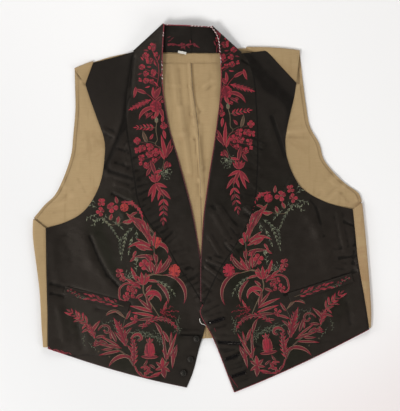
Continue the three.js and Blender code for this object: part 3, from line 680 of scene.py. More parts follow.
def back_grid(side):
    """Half of the back: the lower layer, its turn over the side and its turn over the shoulder."""
    rows = BACKS[side]
    outward = -TOWARDS_EDGE[side]
    us = stations(ROW_STEP, rows[:, 1:])
    outline = through(rows[:, 1:], [ARMHOLE_END[side]])(us)
    centre_y = through(rows[:, 0])(us)[:, 0]
    away = unit(offset(outline, 1) - outline) * outward
    first = int(np.argmin(np.abs(us - ARMHOLE_END[side])))
    low = BACK_CLOTH / 2
    inset = turn_radius(outline[:, 0], outline[:, 1]) + BACK_CLOTH / 2
    inset[:first] = 0
    edge = outline - away * inset[:, None]

    shoulder = EDGES[side]["out"][: corner_row(side, 0) + 1]
    if side == "right":
        shoulder = np.vstack([EDGES[side]["seam"][:1], shoulder])
    shoulder = offset(shoulder, TOWARDS_EDGE[side] * GAP * -1.3)
    turn_from, seam_from = SHOULDER_TURN[side]
    start = (turn_from - centre_x(rows[0, 0])) / (edge[0, 0] - centre_x(rows[0, 0]))
    inner = max(2, round(BACK_COLUMNS * start))
    bend = 0
    if side == "right":
        lengths = lengths_along(shoulder)
        bend = (lengths[1] / lengths[-1] - seam_from) / (1 - seam_from)
    shares = list(np.linspace(0, start, inner, endpoint=False))
    if bend:
        shares += list(start + (1 - start) * bend * np.linspace(0, 1, 6, endpoint=False))
    bent = mix(start, 1, bend)
    count = max(3, round((LAST_SHARE - bent) * BACK_COLUMNS))
    shares += list(np.linspace(bent, LAST_SHARE, count, endpoint=False))
    shares = np.array([shares[0], 0.003, *shares[1:]])
    base = len(shares)
    turn_column = inner + 1

    centre = np.column_stack([centre_x(centre_y) + outward * GAP / 2, centre_y])
    width = np.linalg.norm(edge - centre, axis=1)
    hem = np.array((HEM_DEPTH + 3, HEM_DEPTH + 1.2, HEM_DEPTH, HEM_DEPTH - 0.8, 1.4, 0.5, 0))
    t = np.hstack([np.tile(shares, (len(us), 1)), 1 - hem[None, :] / width[:, None]])
    points = mix(centre[:, None], edge[:, None], t[..., None])
    bow = SHOULDER_BOW[side] * (1 - smooth(0, 60, rows[0, 0] - centre_y))
    x = points[..., 0]
    y = points[..., 1] + bow[:, None] * 4 * t * (1 - t)
    up = back_rise(x, y)
    from_turn = smooth(0, 8, width[:, None] * (1 - t))
    from_turn[:first] = 1
    over_shoulder = np.ones_like(x)
    over_shoulder[:, turn_column:] = smooth(0, 8, rows[0, 0] - centre_y)[:, None]
    up = up * from_turn * over_shoulder
    main = grid(np.dstack([x, y, low + up]), -UP, low)
    main["under"][:first, base + 2 :] += ARMHOLE_HEM

    seam_line = offset(EDGES[side]["out"][corner_row(side, 1) :], TOWARDS_EDGE[side] * GAP * -1.3)
    target = at_height(seam_line, edge[:, 1])
    columns = TURN_STEPS + len(FLAP_SHARES)
    wrap = grid(np.zeros((len(us), columns, 3)), UP, low)
    radius = turn_radius(edge[:, 0], edge[:, 1])
    for k in range(TURN_STEPS):
        angle = (k + 1) / TURN_STEPS * math.pi
        wrap["at"][:, k], wrap["normal"][:, k] = turned(edge, away, low, radius, angle)
    for k, share in enumerate(FLAP_SHARES):
        flat = mix(edge, target, share)
        wrap["at"][:, TURN_STEPS + k] = lifted(flat, lie)
    wrap["mask"][:first] = False
    lower = {key: np.concatenate([main[key], wrap[key]], axis=1) for key in main}
    # Painted shade in the creases and under the armhole's turned hem, painted highlight on the ridges
    fold_shading = hollow(back_folds, x, y) * 0.62
    fold_shading[:first, base + 1 : base + 6] += HEM_SHADE
    lower["hollow"] = np.pad(np.clip(fold_shading, -1, 1), ((0, 0), (0, columns)))

    top_edge = main["at"][0][:, :2]
    top_away = unit(offset(top_edge, 1) - top_edge) * outward
    top_radius = turn_radius(top_edge[:, 0], top_edge[:, 1])
    s = (t[0] - start) / (1 - start)
    seam = at_share(shoulder, mix(seam_from, 1, np.clip(s, 0, 1)))
    above = []
    for share in (1, 0.5):
        flat = mix(top_edge, seam, share)
        above.append((lifted(flat, lie), np.tile(UP, (len(flat), 1))))
    for k in range(TURN_STEPS, 0, -1):
        above.append(turned(top_edge, top_away, low, top_radius, k / TURN_STEPS * math.pi))
    upper = grid(
        np.array([np.vstack([at, np.zeros((columns, 3))]) for at, _ in above]),
        np.array([np.vstack([normal, np.tile(UP, (columns, 1))]) for _, normal in above]),
        low,
    )
    upper["mask"][:, :turn_column] = False
    upper["mask"][:, len(t[0]) :] = False
    upper["hollow"] = np.zeros(upper["mask"].shape)
    return stack(upper, lower)


def strip_grid(start, end, width, level, thickness, columns, rows):
    """A flat strip of cloth that follows what it lies on."""
    start, end, _, across = span(start, end)
    t = edge_shares(columns)
    line = mix(start, end, t[:, None])
    at = []
    for share in [0, 0.03, *np.linspace(0, 1, rows + 1)[1:-1], 0.97, 1]:
        flat = line + across * (share - 0.5) * width
        at.append(lifted(flat, level))
    return grid(np.array(at), UP, thickness / 2)


def outside(mask):
    """The places of a grid that touch one of its edges."""
    padded = np.pad(mask, 1)
    inner = mask.copy()
    for di in (-1, 0, 1):
        for dj in (-1, 0, 1):
            inner &= padded[1 + di : 1 + di + mask.shape[0], 1 + dj : 1 + dj + mask.shape[1]]
    return mask & ~inner


def add_mesh(name, points, faces, material, uvs=None, colours=None):
    """A mesh object at the origin from points in millimetres."""
    data = bpy.data.meshes.new(name)
    data.from_pydata((np.asarray(points) * MM).tolist(), [], faces)
    data.update()
    made = bpy.data.objects.new(name, data)
    bpy.context.scene.collection.objects.link(made)
    corners = np.empty(len(data.loops), int)
    data.loops.foreach_get("vertex_index", corners)
    if uvs is not None:
        layer = data.uv_layers.new(name="cloth")
        layer.data.foreach_set("uv", np.asarray(uvs, float)[corners].ravel())
    if colours is not None:
        layer = data.color_attributes.new("thread", "FLOAT_COLOR", "POINT")
        layer.data.foreach_set("color", np.asarray(colours, float).ravel())
    data.materials.append(shared(material))
    data.shade_smooth()
    return made


def plain_threads(piece):
    """Marks a piece as having no rim, no painted shade, and no painted shade or highlight from folds."""
    layer = piece.data.color_attributes.new("thread", "FLOAT_COLOR", "POINT")
    layer.data.foreach_set("color", PLAIN_THREAD * len(piece.data.vertices))


def finish(piece, nodes=(), sharp=38):
    """Smooths a piece by angle and ties it to the frame."""
    bpy.ops.object.select_all(action="DESELECT")
    piece.select_set(True)
    bpy.context.view_layer.objects.active = piece
    bpy.ops.object.shade_smooth_by_angle(angle=math.radians(sharp))
    piece.select_set(False)
    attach(piece, "root")
    if nodes:
        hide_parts(*nodes)
    return piece


def cloth(name, sheet, material, nodes):
    """Closed cloth over a grid, its outer edges a little thinner than the rest."""
    mask = sheet["mask"]
    over, under = sheet["over"].copy(), sheet["under"].copy()
    rim = outside(mask)
    over[rim] *= EDGE_TAPER
    under[rim] *= EDGE_TAPER
    tops = (sheet["at"] + sheet["normal"] * over[..., None])[mask]
    bottoms = (sheet["at"] - sheet["normal"] * under[..., None])[mask]
    count = len(tops)
    number = np.full(mask.shape, -1)
    number[mask] = np.arange(count)
    a, b = number[:-1, :-1], number[1:, :-1]
    c, d = number[1:, 1:], number[:-1, 1:]
    cells = np.stack([a, b, c, d], axis=-1).reshape(-1, 4)
    cells = cells[(cells >= 0).all(axis=1)]
    faces = [*cells.tolist(), *(cells[:, ::-1] + count).tolist()]
    edges = {(cell[k], cell[(k + 1) % 4]): True for cell in cells.tolist() for k in range(4)}
    for start, end in edges:
        if (end, start) not in edges:
            faces.append([start + count, end + count, end, start])
    # Thread colours: the rim, painted shade, the painted shade and highlight of the folds, and how little
    # green
    shade_and_matte, fold_shading, green = (sheet.get(key, np.zeros(mask.shape))[mask] for key in ("shade_and_matte", "hollow", "green"))
    colours = np.column_stack([rim[mask], shade_and_matte, fold_shading * 0.5 + 0.5, 1 - green])
    made = add_mesh(name, np.vstack([tops, bottoms]), faces, material, None, np.vstack([colours, colours]))
    face_outwards(made)
    return finish(made, nodes)


def ring_faces(rings, sides):
    """Faces of a closed tube whose points are listed ring by ring."""
    faces = []
    for i in range(rings - 1):
        for k in range(sides):
            a, b = i * sides + k, i * sides + (k + 1) % sides
            faces.append([a, b, b + sides, a + sides])
    faces.append(list(range(sides))[::-1])
    faces.append([(rings - 1) * sides + k for k in range(sides)])
    return faces


def joined(parts):
    """Several parts of points and faces as one."""
    faces, start = [], 0
    for points, part_faces in parts:
        faces += [[n + start for n in face] for face in part_faces]
        start += len(points)
    return np.vstack([points for points, _ in parts]), faces


def sewn(name, parts, material, nodes=()):
    """One piece made of several closed parts."""
    made = add_mesh(name, *joined(parts), material)
    face_outwards(made)
    return finish(made, nodes, 60)


def face_outwards(piece):
    """Turns every face of a closed mesh outwards."""
    shaped = bmesh.new()
    shaped.from_mesh(piece.data)
    if shaped.calc_volume(signed=True) < 0:
        bmesh.ops.reverse_faces(shaped, faces=shaped.faces[:])
    shaped.to_mesh(piece.data)
    shaped.free()


# Materials


def group(name, inputs, outputs):
    """A new shader node group. An input is a label and a value, None for a vector; outputs are labels."""
    made = bpy.data.node_groups.new(name, "ShaderNodeTree")
    for label, value in inputs:
        kind = "NodeSocketVector" if value is None else "NodeSocketFloat"
        socket = made.interface.new_socket(label, in_out="INPUT", socket_type=kind)
        if value is not None:
            socket.default_value = value
    for label in outputs:
        made.interface.new_socket(label, in_out="OUTPUT", socket_type="NodeSocketFloat")
    given, result = made.nodes.new("NodeGroupInput"), made.nodes.new("NodeGroupOutput")
    return made, Tree(made), given.outputs, result.inputs


class Tree:
    """Short calls for building a node tree."""

    def __init__(self, tree):
        self.tree = tree

    def node(self, kind, **values):
        made = self.tree.nodes.new(kind)
        for key, value in values.items():
            setattr(made, key, value)
        return made

    def put(self, socket, value):
        if isinstance(value, bpy.types.NodeSocket):
            self.tree.links.new(value, socket)
        else:
            socket.default_value = value

    def fill(self, made, **values):
        """Puts a value on each named socket of a node and hands back the node."""
        for key, value in values.items():
            self.put(made.inputs[key], value)
        return made

    def math(self, operation, *values):
        made = self.node("ShaderNodeMath", operation=operation)
        for socket, value in zip(made.inputs, values):
            self.put(socket, value)
        return made.outputs[0]

    def times(self, a, b):
        return self.math("MULTIPLY", a, b)

    def plus(self, a, b):
        return self.math("ADD", a, b)

    def minus(self, a, b):
        return self.math("SUBTRACT", a, b)

    def blend(self, share, a, b, how="MIX"):
        """Two colours blended, each a socket or three numbers."""
        made = self.node("ShaderNodeMix", data_type="RGBA", blend_type=how)
        self.put(made.inputs[0], share)
        for socket, colour in ((made.inputs[6], a), (made.inputs[7], b)):
            self.put(socket, (*colour, 1) if isinstance(colour, tuple) else colour)
        return made.outputs[2]

    def ramp(self, value, low, high, start=0.0, end=1.0):
        made = self.node("ShaderNodeMapRange", interpolation_type="SMOOTHSTEP")
        for socket, given in zip(made.inputs, (value, low, high, start, end)):
            self.put(socket, given)
        return made.outputs[0]

    def noise(self, vector, scale, detail=4.0, rough=0.55, warp=0.0):
        made = self.node("ShaderNodeTexNoise")
        self.fill(made, Vector=vector, Scale=scale, Detail=detail, Roughness=rough, Distortion=warp)
        return made.outputs[0]

    def placed(self, turn=0.0, stretch=(1.0, 1.0, 1.0)):
        """Object coordinates, turned about Z and stretched."""
        made = self.node("ShaderNodeMapping")
        self.fill(made, Vector=self.node("ShaderNodeTexCoord").outputs["Object"])
        return self.fill(made, Rotation=(0, 0, turn), Scale=stretch).outputs[0]

    def split(self, value, kind="XYZ"):
        """The parts of a vector or, with the kind Color, of a colour."""
        made = self.node(f"ShaderNodeSeparate{kind}")
        self.put(made.inputs[0], value)
        return made.outputs

    def where(self):
        """Object coordinates as X, Y and Z."""
        return self.split(self.node("ShaderNodeTexCoord").outputs["Object"])

    def along(self):
        """Metres along a cord or strip, and the share of the way round or across it."""
        return self.split(self.node("ShaderNodeUVMap", uv_map="cloth").outputs[0])

    def thread(self):
        """Red, green, blue and alpha of the thread colours that a piece carries."""
        made = self.node("ShaderNodeVertexColor", layer_name="thread")
        return (*self.split(made.outputs["Color"], "Color"), made.outputs["Alpha"])


def weave_group(name):
    """Crossing threads with uneven thickness: a height and a mask of the weft."""
    inputs = (("Vector", None), ("Threads", 1200.0), ("Ribs", 0.5), ("Unevenness", 0.4))
    made, tree, given, result = group(name, inputs, ("Height", "Slub"))
    rows = []
    for direction in ("X", "Y"):
        wave = tree.node("ShaderNodeTexWave", wave_type="BANDS", bands_direction=direction)
        scale = tree.times(given["Threads"], 0.159)
        tree.fill(wave, Vector=given["Vector"], Scale=scale, Distortion=0.6, Detail=1.0)
        rows.append(wave.outputs["Fac"])
    ribbed = tree.plus(tree.times(rows[1], given["Ribs"]), tree.times(*rows))
    stretch = tree.fill(tree.node("ShaderNodeMapping"), Vector=given["Vector"], Scale=(1.0, 14.0, 1.0))
    slub = tree.noise(stretch.outputs[0], 60.0, 3.0)
    tree.put(result["Height"], tree.plus(ribbed, tree.times(slub, given["Unevenness"])))
    tree.put(result["Slub"], slub)
    return made


def wear_group(name):
    """Soft stains and faded patches over a cloth: a value from 0 to 1 for each."""
    made, tree, given, result = group(name, (("Vector", None), ("Size", 18.0)), ("Stain", "Fade"))
    stain = tree.noise(given["Vector"], given["Size"], 5.0, 0.6, 0.4)
    fade = tree.noise(given["Vector"], tree.times(given["Size"], 0.37), 4.0, 0.5)
    tree.put(result["Stain"], tree.ramp(stain, 0.52, 0.74))
    tree.put(result["Fade"], tree.ramp(fade, 0.35, 0.7))
    return made


def use_group(tree, build, name, vector, **values):
    """The outputs of a shared node group with these values, made the first time that it is asked for."""
    node = tree.node("ShaderNodeGroup", node_tree=bpy.data.node_groups.get(name) or build(name))
    return tree.fill(node, Vector=vector, **values).outputs


def weave(tree, vector, threads, ribs, unevenness):
    """The height and the uneven threads of a plain weave."""
    values = {"Threads": threads, "Ribs": ribs, "Unevenness": unevenness}
    return use_group(tree, weave_group, "cloth weave", vector, **values)


def material(name, roughness, sheen=0.0, sheen_roughness=0.5, specular=0.5):
    """A new material with a Principled shader whose plain values are set."""
    made = bpy.data.materials.new(name)
    made.use_nodes = True
    made.node_tree.nodes.clear()
    tree = Tree(made.node_tree)
    shader = tree.node("ShaderNodeBsdfPrincipled")
    output = tree.node("ShaderNodeOutputMaterial")
    made.node_tree.links.new(shader.outputs[0], output.inputs[0])
    shader.inputs["Roughness"].default_value = roughness
    shader.inputs["Sheen Weight"].default_value = sheen
    shader.inputs["Sheen Roughness"].default_value = sheen_roughness
    shader.inputs["Specular IOR Level"].default_value = specular
    return made, tree, shader


def dress(tree, shader, colour, height, strength, distance):
    """Puts a colour and a bump on a material's shader."""
    bump = tree.fill(tree.node("ShaderNodeBump"), Height=height, Strength=strength, Distance=distance)
    tree.put(shader.inputs["Normal"], bump.outputs[0])
    tree.put(shader.inputs["Base Color"], colour)


def chosen(key):
    """A colour that the user sets."""
    return tuple(getattr(bpy.context.scene.waistcoat_colours, key))


def tinted(colour, *factors):
    """A colour with each of its parts multiplied, by a factor of its own or by the one that is given."""
    return tuple(min(1, v * k) for v, k in zip(colour, factors if len(factors) > 1 else factors * 3))


# Colour, None for the one that the user sets, then weight of the sheen and roughness
SILKS = {
    "black silk": (None, 0.06, 0.4),
    "black silk binding": ((0.0016, 0.0016, 0.0018), 0.0, 0.2),
    "black silk cover": ((0.0048, 0.006, 0.0052), 0.3, 0.32),
}


def silk_material(name):
    """Ribbed black silk with a brown cast that shows in the light, painted as sheen, with painted shade in
    its folds and seams and painted highlights on its ridges.
    """
    colour, sheen, roughness = SILKS[name]
    base = colour or chosen("silk")
    made, tree, shader = material(name, roughness, sheen, 0.42, 0.22)
    shader.inputs["Sheen Tint"].default_value = (0.62, 0.5, 0.43, 1)
    shader.inputs["Specular Tint"].default_value = (1, 0.86, 0.74, 1)
    vector = tree.placed(0.05)
    woven_in = weave(tree, vector, 2300.0, 0.9, 0.5)
    wear = use_group(tree, wear_group, "stains and fading", vector, Size=9.0)
    rim, shade_and_matte, fold_shading, not_green = tree.thread()
    # A lighter, browner silk for faded patches and slubs, and for the painted sheen and painted highlights
    lit = tuple(v + 0.004 for v in tinted(base, 2.4, 1.9, 1.9))
    shown = tree.blend(tree.times(wear["Fade"], 0.7), base, lit)
    # Painted sheen: the silk lighter and browner away from the middle of the garment
    side_sheen = tree.ramp(tree.math("ABSOLUTE", tree.where()[0]), 0.06, 0.16, 0.0, 0.35)
    shown = tree.blend(side_sheen, shown, lit)
    shown = tree.blend(tree.ramp(woven_in["Slub"], 0.35, 0.8, 0.0, 0.35), shown, lit)
    shown = tree.blend(tree.minus(0.75, tree.times(not_green, 0.75)), shown, tinted(base, 1.05, 1.38, 0.95))
    # Painted shade along the edges and seams of the silk
    shown = tree.blend(tree.times(rim, 0.6), shown, (0.003, 0.0025, 0.0025))
    # Painted shade on the shoulders, in deep folds, along the collar seam and on the collar band
    shown = tree.blend(shade_and_matte, shown, (0.0022, 0.0018, 0.0016))
    # Painted shade in the creases and painted highlight on the ridges
    shown = tree.blend(tree.ramp(fold_shading, 0.55, 0.85, 0.0, 0.9), shown, (0.0016, 0.0016, 0.0014))
    shown = tree.blend(tree.ramp(fold_shading, 0.45, 0.15, 0.0, 0.5), shown, lit)
    dress(tree, shader, shown, woven_in["Height"], 0.35, 0.00012)
    uneven = tree.ramp(tree.noise(vector, 70.0, 3.0), 0.3, 0.75, roughness - 0.06, roughness + 0.09)
    duller = tree.times(tree.math("MAXIMUM", rim, shade_and_matte), 0.4)
    tree.put(shader.inputs["Roughness"], tree.plus(uneven, duller))
    return made


def cotton_material(name):
    """Tan cotton with a plain weave, handled and stained, with painted shade in its folds and painted
    highlights on its ridges.
    """
    base = chosen("cotton")
    made, tree, shader = material(name, 0.88, 0.12, 0.6, 0.25)
    vector = tree.placed(-0.03)
    woven_in = weave(tree, vector, 1500.0, 0.3, 0.8)
    wear = use_group(tree, wear_group, "stains and fading", vector, Size=16.0)
    rim, _, fold_shading, _ = tree.thread()
    # A darker and a lighter cotton for stains, fading, streaks, slubs and edges, and for the painted shade
    # and highlight of the folds
    shade, light = tinted(base, 0.66, 0.6, 0.52), tinted(base, 1.16, 1.17, 1.22)
    pink = tinted(base, 0.86, 0.62, 0.6)
    shown = tree.blend(tree.times(wear["Fade"], 0.6), base, light)
    shown = tree.blend(tree.times(wear["Stain"], 0.5), shown, shade)
    streaks = tree.noise(tree.placed(0.0, (5.0, 0.6, 1.0)), 22.0, 4.0, 0.6)
    shown = tree.blend(tree.ramp(streaks, 0.5, 0.75, 0.0, 0.4), shown, shade)
    patches = tree.noise(tree.placed(0.9, (1.0, 1.6, 1.0)), 26.0, 5.0, 0.65, 0.8)
    shown = tree.blend(tree.ramp(patches, 0.58, 0.78, 0.0, 0.35), shown, pink)
    handled = tree.times(tree.ramp(tree.where()[0], 0.222, 0.238), tree.ramp(patches, 0.4, 0.6))
    shown = tree.blend(tree.times(handled, 0.3), shown, pink)
    shown = tree.blend(tree.ramp(woven_in["Slub"], 0.4, 0.8, 0.0, 0.22), shown, shade)
    # Darker along the edges: partly the edge's own darker tone, partly painted shade where the cotton meets
    # the other layers
    shown = tree.blend(tree.times(rim, 0.45), shown, shade)
    # Painted shade in the creases and painted highlight on the ridges
    shown = tree.blend(tree.ramp(fold_shading, 0.5, 0.95, 0.0, 0.8), shown, tinted(shade, 0.72))
    shown = tree.blend(tree.ramp(fold_shading, 0.5, 0.15, 0.0, 0.95), shown, light)
    dress(tree, shader, shown, woven_in["Height"], 0.5, 0.0002)
    return made


def piping_material(name):
    """Twisted red cord with painted shade in the grooves of its twist, worn to white flecks and darker
    where its thread colours say so.
    """
    made, tree, shader = material(name, 0.5, 0.3, 0.4, 0.4)
    along, around, _ = tree.along()
    worn, darkening, _, _ = tree.thread()
    ply = tree.math("SINE", tree.times(tree.plus(tree.times(along, 205.0), around), math.tau))
    crimson = chosen("crimson")
    # Painted shade in the grooves between the plies
    twisted = tree.blend(tree.ramp(ply, -0.9, 0.3), tinted(crimson, 0.2), crimson)
    blackened = tree.blend(darkening, twisted, (0.006, 0.003, 0.003))
    level = tree.minus(0.78, tree.times(worn, 0.45))
    flecks = tree.ramp(tree.noise(tree.placed(), 150.0, 2.0, 0.6), level, tree.plus(level, 0.05))
    shown = tree.blend(tree.times(flecks, tree.ramp(ply, 0.35, 0.6)), blackened, (0.88, 0.8, 0.74))
    dress(tree, shader, shown, ply, 0.3, 0.0002)
    return made


def thread_material(name):
    """Twisted sewing thread, a little darker than the cotton."""
    made, tree, shader = material(name, 0.7, 0.2, 0.5, 0.3)
    base = chosen("cotton")
    tone = tree.ramp(tree.noise(tree.placed(), 240.0, 2.0), 0.35, 0.7)
    shown = tree.blend(tone, tinted(base, 0.42), base)
    dress(tree, shader, shown, tree.noise(tree.placed(), 2600.0, 1.0), 0.3, 0.0001)
    return made


def tape_material(name):
    """White cotton tape, greyer where its threads run uneven."""
    made, tree, shader = material(name, 0.85, 0.2, 0.5, 0.3)
    woven_in = weave(tree, tree.placed(), 2600.0, 0.5, 0.4)
    base = chosen("tape")
    shown = tree.blend(woven_in["Slub"], base, tinted(base, 0.7))
    dress(tree, shader, shown, woven_in["Height"], 0.5, 0.00015)
    return made


def figure_material(name):
    """Woven silk threads: outlined, veined and lined across, each strip a little different."""
    made, tree, shader = material(name, 0.55, 0.12, 0.4, 0.25)
    along, across, _ = tree.along()
    tone, shade, half, drawn = tree.thread()
    off_middle = tree.math("ABSOLUTE", tree.minus(across, 0.5))
    inwards = tree.minus(1.0, tree.times(off_middle, 2.0))
    from_edge = tree.times(tree.times(inwards, half), 10.0)
    from_middle = tree.times(tree.times(off_middle, half), 20.0)
    palette = tree.node("ShaderNodeValToRGB")
    ramp = palette.color_ramp
    ramp.interpolation = "CONSTANT"
    stem, green, orange = (0.16, 0.11, 0.06), (0.21, 0.225, 0.14), (0.4, 0.036, 0.03)
    tones = ((0, chosen("crimson")), (0.2, stem), (0.5, green), (0.8, orange))
    while len(ramp.elements) < len(tones):
        ramp.elements.new(0.5)
    for element, (position, colour) in zip(ramp.elements, tones):
        element.position = position
        element.color = (*colour, 1)
    tree.put(palette.inputs[0], tone)
    plain = palette.outputs[0]
    deep = tree.blend(1.0, plain, (0.34, 0.36, 0.4), "MULTIPLY")
    varied = tree.plus(tree.times(shade, 0.8), tree.times(tree.noise(tree.placed(), 160.0, 3.0), 0.5))
    shown = tree.blend(tree.ramp(varied, 0.3, 1.05), plain, deep)
    slanted = tree.plus(along, tree.times(off_middle, 0.003))
    lines = tree.math("SINE", tree.times(slanted, math.tau / 0.0019))
    shown = tree.blend(tree.ramp(lines, 0.0, 0.9, 0.0, 0.35), shown, (0.03, 0.012, 0.012))
    vein = tree.times(tree.ramp(from_middle, 0.5, 0.2), tree.ramp(half, 0.16, 0.24))
    shown = tree.blend(tree.times(vein, 0.6), shown, (0.03, 0.012, 0.013))
    halo = tree.math("MINIMUM", tree.times(half, 1.8), 0.5)
    depth = tree.plus(halo, tree.math("MINIMUM", tree.times(half, 2.7), 0.95))
    gap = tree.ramp(from_edge, tree.plus(depth, 0.6), tree.plus(depth, 0.3))
    gap = tree.times(gap, tree.ramp(half, 0.13, 0.2))
    gap = tree.times(gap, tree.plus(tree.times(drawn, 0.7), 0.15))
    shown = tree.blend(gap, shown, (0.022, 0.012, 0.009))
    outline = tree.times(tree.ramp(from_edge, depth, tree.minus(depth, 0.3)), tree.ramp(half, 0.09, 0.16))
    shown = tree.blend(outline, shown, tree.blend(drawn, plain, (0.29, 0.125, 0.088)))
    shown = tree.blend(tree.ramp(from_edge, halo, tree.times(halo, 0.55)), shown, (0.01, 0.008, 0.006))
    dress(tree, shader, shown, lines, 0.25, 0.0001)
    return made


def floor_material(name):
    """A pale floor, painted a little darker towards the lower left where the key light falls, and warmer
    towards one corner.
    """
    made, tree, shader = material(name, 0.8, specular=0.2)
    x, y, _ = tree.where()
    lit = tree.ramp(tree.plus(x, tree.times(y, 0.7)), -0.4, 0.15)
    pale = tree.blend(lit, (0.79, 0.785, 0.78), (0.92, 0.91, 0.9))
    warm = tree.ramp(tree.minus(tree.times(x, 0.6), y), 0.26, 0.5)
    tree.put(shader.inputs["Base Color"], tree.blend(warm, pale, (0.84, 0.78, 0.77)))
    return made


MATERIALS = {
    "pale floor": floor_material,
    **{name: silk_material for name in SILKS},
    "tan cotton": cotton_material,
    "red piping": piping_material,
    "tan thread": thread_material,
    "white tape": tape_material,
    "woven figures": figure_material,
}


def shared(name):
    """The material of this name, built the first time that it is asked for."""
    return bpy.data.materials.get(name) or MATERIALS[name](name)


# Sizes and colours that a user would change


class WaistcoatSizes(bpy.types.PropertyGroup):
    """Sizes of the small parts, in metres."""

    piping_radius: FloatProperty(
        name="Piping radius", description="Radius of the cord in the edges", default=0.0008, unit="LENGTH"
    )
    stitch_length: FloatProperty(
        name="Stitch length", description="Length of one stitch of the seams", default=0.0016, unit="LENGTH"
    )
    stitch_gap: FloatProperty(
        name="Stitch gap", description="Distance from one stitch to the next", default=0.0026, unit="LENGTH"
    )
    button_radius: FloatProperty(
        name="Button radius", description="Radius of the buttons", default=BUTTON_RADIUS, unit="LENGTH"
    )
    relief: FloatProperty(
        name="Relief", description="How far a woven figure stands up", default=0.0002, unit="LENGTH"
    )


class WaistcoatColours(bpy.types.PropertyGroup):
    """Colours of the cloths and threads."""

    silk: FloatVectorProperty(
        name="Silk", description="Ground of the silk", default=(0.0064, 0.0057, 0.0043), subtype="COLOR"
    )
    cotton: FloatVectorProperty(
        name="Cotton", description="Back and facing", default=(0.362, 0.25, 0.122), subtype="COLOR"
    )
    crimson: FloatVectorProperty(
        name="Crimson", description="Sprays and piping", default=(0.362, 0.0188, 0.0375), subtype="COLOR"
    )
    tape: FloatVectorProperty(
        name="Tape", description="Neck tape and loose thread", default=(0.78, 0.75, 0.68), subtype="COLOR"
    )


# Woven figures: flat strips in millimetres, laid out for the left side

RED, STEM, GREEN, ORANGE = 0.0, 0.33, 0.66, 1.0
LEAF_STEPS = 9


